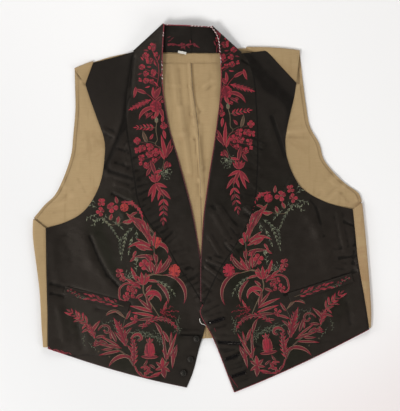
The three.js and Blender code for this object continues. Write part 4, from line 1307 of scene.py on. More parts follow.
class Spray:
    """The strips of a woven spray, in millimetres. Angles are in degrees, turned from +X towards +Y.

    Fullness multiplies the width of every leaf, and depth darkens the lightest strips.
    """

    def __init__(self, seed, fullness, depth):
        self.strips = []
        self.chance = random.Random(seed)
        self.fullness = fullness
        self.depth = depth

    def strip(self, line, half, tone, edge=1.0):
        shade = mix(self.depth, 1, self.chance.random())
        self.strips.append((np.asarray(line, float), np.asarray(half, float), tone, shade, edge))

    def each(self, draw, rows, *rest):
        """Draws one shape for each row of values, which the rest follows."""
        for row in rows:
            draw(*row, *rest)

    def dot(self, x, y, reach, ends, half, tone):
        self.strip([(x - reach, y), (x, y), (x + reach, y)], [ends, half, ends], tone)

    def path(self, x, y, angle, length, bend, count):
        turns = np.radians(angle + bend * (np.arange(count - 1) + 0.5) / (count - 1))
        step = length / (count - 1)
        run = np.column_stack([np.cos(turns), np.sin(turns)]) * step
        return np.vstack([[(x, y)], np.array((x, y)) + np.cumsum(run, axis=0)])

    def leaf(self, x, y, angle, length, width, bend=0, tone=RED, full=0.42, blunt=0.85, edge=1.0):
        """A pointed leaf from its base, widest at a share of its length."""
        count = LEAF_STEPS + int(abs(bend) / 16)
        s = np.linspace(0, 1, count)
        power = math.log(0.5) / math.log(full)
        half = width / 2 * self.fullness * np.sin(np.pi * s**power) ** blunt
        line = self.path(x, y, angle, length, bend, count)
        self.strip(line, half, tone, edge)
        return line

    def stem(self, points, width, tone=STEM, end=0.35):
        curve = through(points)
        reach = lengths_along(np.array(points, float))[-1]
        count = max(4, round(reach / 3))
        s = np.linspace(0, 1, count)
        line = curve(s * (len(points) - 1))
        self.strip(line, width / 2 * mix(1, end, s), tone)

    def flower(self, x, y, radius, petals=4, tone=RED, middle=STEM, blunt=0.72):
        turn = self.chance.uniform(0, 90)
        for k in range(petals):
            angle = turn + 360 * k / petals + self.chance.uniform(-12, 12)
            off = np.radians(angle)
            at = x + 0.08 * radius * math.cos(off), y + 0.08 * radius * math.sin(off)
            reach = radius * self.chance.uniform(0.78, 1.18)
            self.leaf(*at, angle, reach, radius * 4.3 / petals, 0, tone, 0.62, blunt, 0.4)
        self.dot(x, y, radius * 0.16, radius * 0.08, radius * 0.18, middle)

    def bloom(self, x, y, wide, tall, tone=ORANGE):
        """A full round bloom with a lobed edge and a small dark heart."""
        for k in range(9):
            turn = math.tau * k / 9
            at = x + wide * 0.3 * math.cos(turn), y + tall * 0.32 * math.sin(turn)
            self.leaf(*at, math.degrees(turn), wide * 0.23, wide * 0.34, 0, tone, 0.55, 0.5, 0)
        s = np.linspace(0, 1, 11)
        line = np.column_stack([np.full(11, x), y + tall * 0.84 * (s - 0.5)])
        self.strip(line, wide * 0.42 * np.sqrt(np.sin(np.pi * (0.04 + 0.92 * s))), tone, 0)
        self.flower(x, y - tall * 0.06, wide * 0.3, 3, RED)

    def bud(self, x, y, angle, size, tone=RED):
        self.leaf(x, y, angle, size, size * 0.62, 0, tone, 0.5)
        for side in (-1, 1):
            self.leaf(x, y, angle + side * 42, size * 0.6, size * 0.26, side * -30, STEM)

    def frond(self, x, y, angle, length, bend, pairs, leaf, fine=False):
        """A stem with pairs of leaves that grow shorter towards its tip, and a leaf at the tip."""
        kinds = {True: (GREEN, GREEN, 0.6, 0.24, 34), False: (RED, STEM, 1, 0.36, 46)}
        tone, stem, thin, slim, open_by = kinds[fine]
        line = self.path(x, y, angle, length, bend, pairs * 2 + 2)
        self.strip(line, np.linspace(0.5, 0.25, len(line)) * thin, stem)
        for k in range(pairs):
            at = line[2 * k + 1]
            here = angle + bend * (2 * k + 1) / len(line)
            size = leaf * (1 - 0.45 * k / pairs)
            for side in (-1, 1):
                turn = here + side * (open_by + self.chance.uniform(-6, 6))
                self.leaf(*at, turn, size, size * slim, side * -16, tone)
        self.leaf(*line[-2], angle + bend, leaf * 0.7, leaf * 0.26, 0, tone)

    def sprig(self, x, y, angle, length, bend=0, tone=GREEN, leaf=4.2):
        """A thin stem with small leaves in turn."""
        count = max(3, round(length / 3.2))
        line = self.path(x, y, angle, length, bend, count + 1)
        self.strip(line, np.linspace(0.3, 0.2, len(line)), tone)
        for k in range(1, count + 1):
            side = 1 if k % 2 else -1
            turn = angle + bend * k / count + side * self.chance.uniform(34, 62)
            self.leaf(*line[k], turn, leaf * self.chance.uniform(0.8, 1.2), leaf * 0.32, 0, tone)

    def plume(self, x, y, angle, length, width, bend, lobes):
        """A scrolling leaf with lobes along both edges and a vein in the middle."""
        line = self.path(x, y, angle, length, bend, lobes * 2 + 3)
        s = np.linspace(0, 1, len(line))
        self.strip(line, width * 0.3 * np.sin(np.pi * (0.08 + 0.9 * s)) ** 0.7 + 0.1, RED)
        for k in range(1, lobes + 1):
            share = k / (lobes + 1)
            at = line[round(share * (len(line) - 1)) - 1]
            here = angle + bend * share
            size = width * (0.45 + 0.55 * math.sin(math.pi * (0.2 + 0.75 * share)))
            for side in (-1, 1):
                self.leaf(*at, here + side * 30, size, size * 0.42, side * 14)
        self.strip(line, np.linspace(0.5, 0.2, len(line)), STEM)

    def curl(self, x, y, angle, radius, width, turn):
        """A scroll that winds in to a round end."""
        count = 16
        s = np.linspace(0, 1, count)
        turns = np.radians(angle + turn * s**1.35)
        steps = radius * abs(math.radians(turn)) / count * (1.35 - 0.8 * s)
        run = np.column_stack([np.cos(turns), np.sin(turns)]) * steps[:, None]
        line = np.array((x, y)) + np.cumsum(run, axis=0)
        self.strip(line, width / 2 * (np.sin(np.pi * (0.12 + 0.78 * s)) ** 0.6), RED)
        self.dot(*line[-1], width * 0.4, width * 0.2, width * 0.45, RED)

    def tulip(self, x, y, size):
        """A bell-shaped bloom: three petals, a wide foot, and buds on top."""
        for angle, bend, reach, wide in ((114, -26, 0.86, 0.42), (66, 26, 0.86, 0.42), (90, 0, 0.94, 0.78)):
            self.leaf(x, y - size * 0.42, angle, size * reach, size * wide, bend, RED, 0.32, 0.75, 0.5)
        self.leaf(x - size * 0.5, y - size * 0.36, -7, size, size * 0.26, 14, RED, 0.5, 0.5, 0.5)
        self.leaf(x - size * 0.4, y - size * 0.2, -6, size * 0.8, size * 0.07, 12, STEM, 0.5)
        for angle in (50, 90, 130):
            self.leaf(x, y + size * 0.4, angle, size * 0.32, size * 0.17)


def lapel_spray():
    """Flowers and leaves from the top of the lapel down to its lower end."""
    made = Spray(11, 1.08, 0)
    made.stem([
        (-75, 240), (-70.5, 228), (-66, 219), (-64.5, 205), (-66.5, 190), (-70, 175), (-69.5, 160),
    ], 1.3, RED)
    for x, y in ((-83, 229), (-78, 221), (-88, 212), (-83, 203), (-83, 192)):
        made.stem([(-66 + (y - 212) * -0.08, y - 9), (x + 6, y - 4), (x, y)], 0.8, RED)
    made.each(made.flower, (
        (-74.8, 242.6, 5.8), (-84.4, 229.7, 5.2), (-79.1, 221.2, 5.2), (-89.8, 212.6, 5),
        (-84.4, 202.9, 4.6), (-72.6, 204, 4.6), (-84.4, 192.2, 4.8), (-74.8, 191.2, 3.6),
        (-92.5, 193.5, 3), (-69, 231, 3.6),
    ), 4, RED, STEM, 0.95)
    for x, y, angle, reach, bend in (
        (-68, 214, 132, 9, -30), (-68, 206, 150, 8, 30), (-70, 196, 140, 9, 20), (-66, 222, 60, 9, 30),
        (-80, 236, 150, 8, 40), (-76, 213, 200, 7, -40), (-88, 222, 110, 7, 30),
        (-66, 184, 120, 10, 30), (-78, 184, 210, 8, -30), (-71, 236, 75, 12, 20),
        (-63, 198, 62, 9, 20), (-90, 203, 190, 7, 20),
    ):
        made.leaf(x, y, angle, reach, 2.4, bend)
    made.stem([(-69.5, 160), (-76, 167), (-83.4, 173)], 1.2, RED)
    made.each(made.leaf, (
        (-83.4, 172.9, 152, 19, 5.8, 18), (-99.5, 183, 268, 17, 5.6, -14),
        (-71.6, 164.4, 66, 21, 8.5, -8), (-72, 167, 104, 16, 5.6, -20), (-70, 160, 40, 16, 5.5),
    ))
    made.plume(-77, 163.5, 203, 37, 7.5, 4, 6)
    made.bloom(-69.4, 153.7, 17, 17, RED)
    made.each(made.leaf, (
        (-66, 148, 250, 14, 6.5), (-63, 151, 290, 15, 6.5), (-62, 160, 20, 12, 6),
        (-71, 151.5, 172, 33, 6.6, 92), (-73, 144, 196, 15, 4.4, 48),
    ))
    made.each(made.flower, ((-83, 142, 3), (-74, 137, 2.6)))
    made.bud(-68, 129, 95, 9, GREEN)
    made.frond(-70, 121.5, 176, 30, 6, 5, 8.6)
    made.flower(-57.5, 124, 5.6)
    made.each(made.leaf, ((-58, 118, 284, 14, 5.6), (-60, 130, 80, 11, 5)))
    made.stem([
        (-69.4, 146), (-68, 132), (-69, 118), (-67, 104), (-70, 97), (-62, 90), (-57, 80), (-58, 66),
        (-63, 54),
    ], 1.4)
    made.each(made.leaf, (
        (-82, 99, 118, 20, 6.2, -15, STEM), (-82.5, 100, 118, 17, 4, -15), (-78, 104, 60, 10, 4.4),
    ))
    made.stem([(-69, 98), (-80, 101), (-92, 100), (-97, 101)], 1)
    made.each(made.leaf, (
        (-55, 76, 97, 36, 6.8, 7), (-53.4, 76, 80, 30, 6, -8), (-53, 80, 58, 20, 5.4),
        (-56, 74, 118, 18, 5), (-52, 72, 250, 15, 5.6),
    ))
    made.flower(-50, 66, 3.6)
    for x, y, radius in (
        (-88.7, 91.5, 5.2), (-78, 93.6, 5.6), (-69.4, 84.5, 5.6), (-79, 81.9, 5.2), (-90.9, 76.5, 5.2),
        (-83.4, 64.5, 5), (-97, 102.2, 5.4), (-96.2, 88, 4.6), (-72, 73.5, 4), (-92, 68, 3.2),
    ):
        made.stem([(-62, 88 - (90 - y) * 0.4), (x + 5, y - 2), (x, y)], 0.7, RED)
        made.flower(x, y, radius)
    made.each(made.leaf, ((-70.5, 53, 106, 22, 6.5, 8), (-77, 62, 243, 15, 5.4), (-60, 58, 200, 14, 5)))
    for angle, reach in ((28, 14), (62, 12), (2, 15), (-28, 13), (100, 9), (-55, 10)):
        made.sprig(-61, 52, angle, reach, 10, GREEN, 3)
    made.flower(-53, 56, 2.4, 4, GREEN, GREEN)
    made.stem([(-63, 54), (-68, 46), (-70, 38), (-62, 29), (-57, 19)], 1.3)
    for angle in (48, 72, 96, 120, 146):
        made.leaf(-69.6, 40, angle, 14, 5.2, (96 - angle) * 0.3)
    for angle, reach, wide, bend in (
        (236, 23, 6, 10), (262, 29, 6.2, -6), (-12, 19, 5.6, -14), (-54, 23, 6, -8),
    ):
        made.leaf(-70, 38, angle, reach, wide, bend)
    made.each(made.leaf, ((-61, 29.5, -42, 21, 5.6, -10), (-63, 28, -100, 16, 4.8)))
    made.frond(-57.4, 19, -91, 41, 0, 4, 12.5)
    return made


def front_spray():
    """The sprays of a front: one above the pocket, one beside the front edge and one above the hem."""
    made = Spray(12, 1.06, 0)
    made.each(made.flower, ((-150.9, 10.1, 5.8), (-151.9, -3.8, 6.2), (-134.8, 2.6, 8)))
    made.bloom(-116.5, 2, 12.5, 11.5)
    made.each(made.leaf, ((-127, 8, 104, 11, 6), (-111, 6, 40, 10, 5), (-119, -20, 4, 14, 6)))
    made.each(made.bud, ((-138, -17, 72, 10), (-127, -22, 78, 11), (-115, -21, 18, 12)))
    made.each(made.sprig, (
        (-158, 2, 150, 15), (-158, -8, 196, 16), (-155, -13, 228, 14), (-160, 8, 120, 10),
        (-144, -8, 250, 12), (-150, -14, 190, 12),
    ), 14)
    made.plume(-121, 10, 10, 48, 5.6, -102, 7)
    made.each(made.leaf, (
        (-113, -7, -40, 20, 5, -20), (-106, -10, -48, 26, 5.6, -10), (-99, -14, -56, 28, 5.6, -6),
        (-103, -20, -36, 20, 4.4, -30), (-93, -22, -62, 24, 5, 4), (-88, -34, -52, 18, 4.6, -14),
    ))
    made.stem([(-114, -6), (-102, -14), (-92, -28), (-84, -42)], 1.4)
    made.each(made.leaf, ((-90, -16, -60, 20, 6, -20), (-98, -16, -30, 16, 5, -20)))
    made.stem([(-150, -12), (-138, -24), (-118, -20), (-108, -14)], 0.9)
    made.each(made.frond, (
        (-152, -13, -34, 26, -22, 4), (-142, -20, -52, 30, -8, 5), (-134, -19, -22, 20, -30, 3),
        (-103, -27, 222, 26, 10, 4), (-112, -34, 252, 44, 12, 7), (-122, -42, 262, 26, 14, 4),
        (-104, -42, 250, 28, 14, 4), (-98, -32, 266, 14, 10, 2),
    ), 5.6, True)
    made.stem([(-79, -28), (-70, -42), (-72, -60), (-69, -80), (-74, -98)], 3)
    made.each(made.leaf, (
        (-76, -56, 146, 38, 6.2, 78), (-74, -62, 158, 30, 5.6, 12), (-72.6, -71, 174, 32, 5.6, 22),
        (-100, -71, 236, 12, 5, -20), (-77, -54, 104, 24, 6.2), (-73, -56, 86, 22, 6.2, -6),
        (-69, -60, 76, 28, 11, -4, ORANGE), (-70, -54, 24, 27, 7.6, -118), (-69, -82, 84, 14, 5.4),
        (-76, -80, 128, 15, 5.4, 20), (-67.3, -98, 42, 34, 6, 28), (-70, -99, 62, 25, 5, 12),
        (-76, -96, 98, 24, 5.6, -6), (-72, -98, 78, 20, 5.4), (-78, -95, 124, 18, 5),
        (-84, -34, -54, 20, 6), (-80, -40, 120, 14, 5), (-81, -44, 128, 26, 4.4, -10),
        (-78, -58, 140, 25, 6, 14), (-84, -62, 164, 19, 5, -20), (-99, -63, 244, 11, 5),
        (-73, -77, 140, 15, 5.4, 10), (-67.5, -80, 108, 15, 6), (-66, -95, 66, 15, 5.4),
        (-71.5, -95, 100, 16, 5.4, 10), (-62, -96, 34, 30, 4.6, 50), (-46, -80, 112, 12, 3.6),
        (-97, -105, 124, 20, 5, -10), (-89, -110, 98, 15, 7), (-85, -108, 66, 11, 6),
        (-93, -115, 152, 11, 6.4), (-79, -40, 96, 20, 5, 8), (-74, -48, 74, 13, 4.6),
        (-88, -20, 150, 18, 5, 20), (-97, -5, 200, 15, 4.6, 20), (-84, -124, 50, 13, 6),
        (-106, -130, 60, 9, 4), (-58, -152, 60, 15, 4, 20),
    ))
    made.stem([(-98, -22), (-88, -34), (-78, -48), (-73, -62)], 1, STEM)
    made.flower(-86.6, -84, 8, 4)
    made.sprig(-98, -94, 92, 20)
    made.each(made.flower, ((-98.4, -75, 3.2, 4, GREEN, GREEN), (-123, -96, 6.2), (-118.5, -104.5, 4.6)))
    for angle in (40, 74, 108, 150):
        made.sprig(-110, -107, angle, 12)
    made.bloom(-41.2, -93.4, 17, 21)
    made.leaf(-60, -99.5, 8, 66, 6.8, -122, RED, 0.5)
    made.stem([(-74, -98), (-60, -99.5), (-48, -100)], 2)
    made.each(made.leaf, (
        (-68, -112, -22, 38, 7, -78), (-85, -132, 62, 34, 9.5, -158), (-82, -108, 8, 18, 5, -30),
    ))
    for angle, reach, wide in ((50, 16, 5), (76, 19, 6), (102, 20, 6), (130, 17, 5.4), (158, 13, 4.6)):
        made.leaf(-87, -114, angle, reach, wide, (104 - angle) * 0.3)
    made.each(made.leaf, (
        (-98, -108, 112, 20, 6.4, 10), (-102, -112, 142, 15, 5.4, 20), (-93, -116, 168, 16, 5, 30),
    ))
    made.stem([(-124, -131), (-123, -119), (-114, -112), (-102, -113), (-92, -119)], 4.2, RED, 0.6)
    made.curl(-124, -126, 262, 7, 3.4, 190)
    made.each(made.flower, (
        (-113.4, -131.5, 6.2), (-109, -119.6, 4.6), (-101, -123, 4.4), (-104, -131, 3.4),
    ))
    made.stem([
        (-74, -98), (-84.4, -103), (-88, -116), (-86.6, -128), (-76, -143), (-65, -160), (-60, -168),
    ], 3)
    made.each(made.leaf, (
        (-74, -155, 158, 36, 6.2, 14), (-71, -161, 168, 35, 5.4, 6), (-75, -153, 116, 27, 6, -12),
        (-70, -164, 182, 30, 4.8, 10), (-76, -152, 138, 28, 5.2), (-88, -128, 200, 14, 5, 20),
        (-80, -138, 60, 14, 5, -30),
    ))
    for angle, reach in ((26, 20), (4, 26), (-18, 24), (-40, 18), (50, 12)):
        made.sprig(-63, -155, angle, reach, 0, RED, 3)
    made.stem([(-76, -109), (-62, -109), (-50, -119), (-45, -134)], 0.8, GREEN)
    made.each(made.frond, ((-72, -108, -4, 42, -64, 6, 5.8), (-60, -113, -46, 24, -30, 4, 5)), True)
    made.fullness = 0.92
    made.depth = 0.3
    made.stem([(-101.6, -236), (-116, -218), (-140, -204), (-161, -195), (-171, -173), (-190, -157)], 3)
    made.frond(-170, -174, 138, 36, 12, 5, 12.5)
    made.plume(-161, -194, 108, 24, 9, 20, 4)
    made.each(made.leaf, (
        (-166, -186, 62, 23, 7, -16), (-160, -194, 26, 17, 5.6, -30), (-168, -180, 190, 14, 5, 30),
        (-120, -209, 166, 37, 6.2, 10), (-122, -213, 188, 34, 5.6, 8), (-112, -206, 128, 30, 6.8, 8),
        (-107, -222, 162, 40, 8, 86), (-150, -200, 214, 16, 5, -30), (-140, -204, 150, 16, 5),
        (-116, -206, 92, 26, 6.6, -8), (-115, -190, 60, 16, 5, -20), (-117, -178, 38, 22, 5.4, -30),
        (-114, -166, 64, 16, 5.6), (-104, -226, 150, 20, 6, 20), (-132, -208, 200, 20, 5.4, -20),
        (-196, -160, 150, 12, 4, 10), (-186, -164, 104, 12, 4.6), (-178, -168, 92, 13, 5),
        (-182, -166, 190, 12, 4.4, 20), (-172, -172, 214, 12, 4.4, 30), (-158, -196, 244, 12, 4.4, 30),
        (-128, -200, 116, 22, 6.4), (-136, -196, 100, 12, 4), (-118, -196, 112, 36, 9, 4),
        (-146, -200, 176, 18, 5, 20), (-124, -206, 152, 34, 5), (-104, -214, 130, 12, 5),
        (-100, -226, 118, 14, 5), (-60, -190, 104, 24, 7, 30), (-50, -200, 112, 20, 7, 10),
        (-96, -176, 20, 16, 5, -40), (-56, -208, 100, 20, 6), (-42, -226, 76, 20, 5),
        (-88, -236, 40, 12, 4.6, 40), (-70, -240, 130, 12, 4.6, 40), (-74, -250, 20, 14, 4.6),
    ))
    made.curl(-157, -186, 70, 7.4, 4, -330)
    made.plume(-113, -206, 108, 42, 11, 8, 6)
    made.stem([(-113, -206), (-118, -178), (-112, -156)], 1.8)
    made.each(made.leaf, (
        (-144, -160, 52, 26, 5.6, -84, STEM), (-143, -160, 54, 22, 3, -84),
        (-132, -152, -26, 22, 4.6, -20, STEM),
    ))
    made.flower(-101, -165.6, 6, 4)
    made.plume(-90, -180, 62, 68, 7.6, -132, 9)
    made.each(made.sprig, (
        (-112, -186, 8, 30, -20), (-108, -193, 14, 32, -16), (-84, -184, -24, 28, -20),
        (-74, -181, -40, 24, -20), (-100, -181, -16, 30, -10), (-92, -190, -10, 26, 10),
        (-70, -190, -60, 14, 0), (-98, -198, 40, 16, 0), (-64, -186, -70, 22, 0),
        (-40, -166, -70, 20, 0), (-34, -160, -100, 22, 0), (-130, -166, 200, 16, 0),
        (-134, -172, -60, 18, 0), (-150, -168, -80, 16, 20), (-176, -188, -110, 16, 30),
        (-170, -200, -60, 14, 30), (-44, -186, 30, 14, 0),
    ), GREEN, 3)
    made.tulip(-78.5, -212, 27)
    made.plume(-103, -236, 82, 44, 10, 20, 6)
    made.curl(-107, -198, 70, 7.4, 6, -240)
    made.each(made.leaf, (
        (-53.6, -229, 100, 36, 6.2, -8), (-53.4, -226, 66, 43, 6.6, 6),
        (-43.5, -210, -88, 30, 7.8, -8), (-48, -222, 52, 22, 5.6, 16), (-50, -226, 120, 18, 5.4, 10),
        (-48, -206, 80, 22, 5, 10),
    ))
    made.stem([(-58, -238), (-53, -226), (-48, -212), (-44, -198)], 1.8)
    for angle, reach, wide in (
        (92, 15, 9.6), (42, 13, 7), (142, 13, 7), (-78, 17, 10.6), (-28, 13, 7), (200, 12, 6),
    ):
        made.leaf(-59, -238, angle, reach, wide)
    made.each(made.curl, ((-94, -240, 30, 6.4, 4.4, -250), (-72, -247, 150, 6, 4.2, 250)))
    made.flower(-82.5, -240, 4.4)
    made.stem([(-101, -236), (-94, -248), (-80, -253), (-64, -248), (-58, -240)], 3, RED, 0.7)
    made.each(made.leaf, ((-96, -244, -40, 14, 5, -30), (-78, -252, 20, 14, 5, -30)))
    made.each(made.flower, ((-139, -222), (-155, -214)), 1.6, 4, STEM, STEM)
    return made


def welt_spray():
    """The spray of a pocket welt, measured from the welt's outer end and its middle line."""
    made = Spray(13, 0.7, 0.4)
    for k in range(7):
        made.flower(6 + 3.4 * k, 2.4 - 0.9 * k + (1.6 if k % 2 else -1.6), 1.7, 4, RED, RED)
    made.stem([(4, 2), (18, -1), (34, -2.4)], 0.6, GREEN)
    for k in range(9):
        x = 84 - 5.6 * k + made.chance.uniform(-0.8, 0.8)
        side = 1 if k % 2 else -1
        made.leaf(
            x, side * 1.2 - 0.8, 180 - side * made.chance.uniform(14, 44), 9.4, 4.6, side * 20,
            edge=0.5,
        )
        made.leaf(x - 2.6, -side * 2.4, 180 + made.chance.uniform(-34, 34), 7, 3.8, edge=0.5)
    made.stem([(92, -1), (66, 0.4), (36, -1.4)], 0.9)
    for k in range(4):
        made.sprig(36 - 4 * k, -3, 200 + 20 * (k % 2), 5, 0, GREEN, 2.4)
    return made


def band_spray():
    """What shows of the weave's border inside the neck."""
    made = Spray(14, 0.85, 0.8)
    made.stem([(-51.5, 245.4), (-46, 246.6), (-41, 246.4), (-37.5, 245.2)], 3.6, RED, 0.5)
    made.leaf(-38, 245.4, -4, 9, 3.2, -8)
    made.flower(-28, 244.4, 3.8)
    made.each(made.leaf, ((-26, 244.6, 14, 14, 3.6, -8), (-12.5, 247, -36, 11, 3.2, 8)))
    made.each(made.leaf, (
        (-49, 246, 20), (-40, 246, 200), (-33, 246, 40), (-30, 244, 250), (-26, 246, 160),
        (-22, 244, -40), (-17, 248, 100), (-9, 246, 150), (-13, 247, -60), (-27, 243, 290),
    ), 5, 2.4)
    made.each(made.leaf, ((-51, 250, 30), (-47, 253, 36), (-52, 256, 20)), 6, 1.8)
    return made


FRONT_TURN = {"from": (-39, -93.2), "to": (38.1, -92.9), "turn": 9.7, "scale": 1.02, "fullness": 0.92}
LAPEL_TURN = {"from": (-69.45, 153.7), "to": (36.6, 175.1), "turn": 9.3, "scale": 1.03, "fullness": 0.94}
EDGE_LINES = [
    (np.linspace(start, end, 9), np.full(9, 0.5), RED, 0.9, 0)
    for start, end in (((41, -250), (54, -268)), ((18.5, -178.5), (20.5, -184)), ((45, -256), (50.5, -264)))
]
RELIEF_SHAPE = ((-1, -0.5), (-0.62, 0.65), (0, 1), (0.62, 0.65), (1, -0.5))
ACROSS_STRIP = (0, 0.19, 0.5, 0.81, 1, 0.81, 0.5, 0.19)  # v over the top of a strip and back below it
LATER_HIGHER = 0.0016  # each strip stands a little higher than the one before
STEEPEST = 1.2  # height that the surface may change below a strip, besides half its width


def mirrored(line, turned_by):
    """A left-side line on the right side: mirrored, then turned and scaled about a shared place."""
    away = (line - turned_by["from"]) * (-1, 1) * turned_by["scale"]
    angle = math.radians(turned_by["turn"])
    x = away[:, 0] * math.cos(angle) - away[:, 1] * math.sin(angle)
    y = away[:, 0] * math.sin(angle) + away[:, 1] * math.cos(angle)
    return np.column_stack([x, y]) + turned_by["to"]


def surfaces(*names):
    """The surfaces of pieces that already stand, for laying figures and threads on them."""
    found = []
    for name in names:
        piece = bpy.data.objects.get(name)
        if piece is None:
            raise RuntimeError(f"{name} has to be made before what lies on it")
        found.append(BVHTree.FromObject(piece, bpy.context.evaluated_depsgraph_get()))
    return found


def height_on(trees, x, y):
    """Height of the highest surface straight below (x, y) in millimetres, or None."""
    hits = [tree.ray_cast(Vector((x * MM, y * MM, RAYS_FROM)), Vector((0, 0, -1)))[0] for tree in trees]
    return max((hit.z / MM for hit in hits if hit is not None), default=None)


def woven(name, strips, trees, relief, outlined=1.0):
    """Raised closed strips that lie on a surface, as one mesh. A part that misses the surface is cut."""
    parts, uvs, colours = [], [], []
    for number, (line, half, tone, shade, edge) in enumerate(strips):
        across = sideways(line)
        reached = lengths_along(line)
        rows = []
        for i, place in enumerate(line):
            for trim in (1, 0.75, 0.5, 0.25):
                half_here = max(half[i] * trim, 0.08)
                heights = [height_on(trees, *(place + across[i] * half_here * a)) for a, _ in RELIEF_SHAPE]
                if None not in heights and max(heights) - min(heights) < STEEPEST + half_here:
                    break
            else:
                if len(rows) > 2:
                    break
                rows = []
                continue
            top = [
                (*(place + across[i] * half_here * a), z + relief * up * (1 + LATER_HIGHER * number))
                for (a, up), z in zip(RELIEF_SHAPE, heights)
            ]
            low = [(x, y, z - relief * 1.2) for (x, y, _), z in zip(top[3:0:-1], heights[3:0:-1])]
            rows.append((top + low, reached[i], half_here))
        if len(rows) < 3:
            continue
        points = []
        for ring_points, along, half_here in rows:
            points += ring_points
            uvs += [(along * MM, v) for v in ACROSS_STRIP]
            colours += [(tone, shade, half_here / 10, outlined * edge)] * len(ACROSS_STRIP)
        parts.append((np.array(points), ring_faces(len(rows), len(ACROSS_STRIP))))
    made = add_mesh(name, *joined(parts), "woven figures", uvs, colours)
    made.data.flip_normals()
    return finish(made, (), 50)


# Pieces


class WAISTCOAT_OT_back(bpy.types.Operator):
    """Make both halves of the cotton back"""

    bl_idname = "waistcoat.back"
    bl_label = "Back"

    def execute(self, context):
        for side in SIDES:
            sheet, nodes = back_grid(side), [f"back_{side}"]
            piece = cloth(f"cotton_back_{side}", sheet, "tan cotton", nodes)
        return {"FINISHED"}


class WAISTCOAT_OT_facing(bpy.types.Operator):
    """Make the neck facing inside the back and the white tape on it"""

    bl_idname = "waistcoat.facing"
    bl_label = "Neck facing"

    def execute(self, context):
        from_x, to_x, y, depth = FACING

        def level(x, y):
            return BACK_CLOTH + back_rise(x, y) + 0.12 + FACING_CLOTH / 2

        def tape_level(x, y):
            return 4 + 0.5 * np.sin(x * 0.8) + 0.16 * (y - 234)

        facing = strip_grid((from_x, y), (to_x, y), depth, level, FACING_CLOTH, 48, 7)
        piece = cloth("cotton_neck_facing", facing, "tan cotton", ["neck_facing"])
        loop = strip_grid((-36, 235.6), (-23.6, 233.2), 3.6, tape_level, 0.8, 18, 4)
        tape = cloth("white_neck_tape", loop, "white tape", ["neck_tape"])
        return {"FINISHED"}


class WAISTCOAT_OT_fronts(bpy.types.Operator):
    """Make both silk fronts"""

    bl_idname = "waistcoat.fronts"
    bl_label = "Fronts"

    def execute(self, context):
        for side in SIDES:
            sheet, nodes = FRONTS[side], [f"front_{side}"]
            piece = cloth(f"silk_front_{side}", sheet, "black silk", nodes)
        return {"FINISHED"}


class WAISTCOAT_OT_collar(bpy.types.Operator):
    """Make both halves of the shawl collar"""

    bl_idname = "waistcoat.collar"
    bl_label = "Collar"

    def execute(self, context):
        for side in SIDES:
            sheet, nodes = COLLARS[side], [f"collar_{side}"]
            piece = cloth(f"silk_collar_{side}", sheet, "black silk", nodes)
        return {"FINISHED"}


class WAISTCOAT_OT_welts(bpy.types.Operator):
    """Make the two pocket welts"""

    bl_idname = "waistcoat.welts"
    bl_label = "Pocket welts"

    def execute(self, context):
        def level(x, y):
            return lie(x, y) + SILK / 2 + 0.1 + WELT_CLOTH / 2

        for name, (from_x, from_y, to_x, to_y, width) in WELTS.items():
            sheet = strip_grid((from_x, from_y), (to_x, to_y), width, level, WELT_CLOTH, 60, 8)
            piece = cloth(f"silk_{name}", sheet, "black silk", [name])
            side = name.split("_")[1]
        return {"FINISHED"}


def piping_route(inside, edge, away_by):
    """The route past a cloth's edge: rows of a place inside the cloth and one on its edge."""
    run = unit(np.diff(edge, axis=0))
    before, after = np.vstack([run[:1], run]), np.vstack([run, run[-1:]])
    along = unit(before + after)
    away = edge - inside
    away = unit(away - (away * along).sum(axis=1)[:, None] * along)
    turn = np.maximum(0.5, (along * after).sum(axis=1))
    return edge + away * (away_by / turn)[:, None]


def tube(points, radius, sides, twist=0.0, step=None):
    """Points and faces of a closed round tube along a line, with u along it and v around it."""
    line = np.asarray(points, float)
    if step:
        line = at_share(line, np.linspace(0, 1, max(3, round(lengths_along(line)[-1] / step))))
    reached = lengths_along(line)
    across = UP
    rings, uvs = [], []
    angles = np.arange(sides) / sides * math.tau
    for i, point in enumerate(line):
        along = unit(line[min(i + 1, len(line) - 1)] - line[max(i - 1, 0)])
        across = unit(across - along * (across @ along))
        up = np.cross(along, across)
        size = radius * (1 + twist * np.cos(2 * (angles - reached[i] * math.tau / TWIST_LENGTH)))
        rings.append(point + np.outer(size * np.cos(angles), across) + np.outer(size * np.sin(angles), up))
        uvs += [(reached[i] * MM, k / sides) for k in range(sides)]
    return np.vstack(rings), ring_faces(len(line), sides), np.array(uvs), line


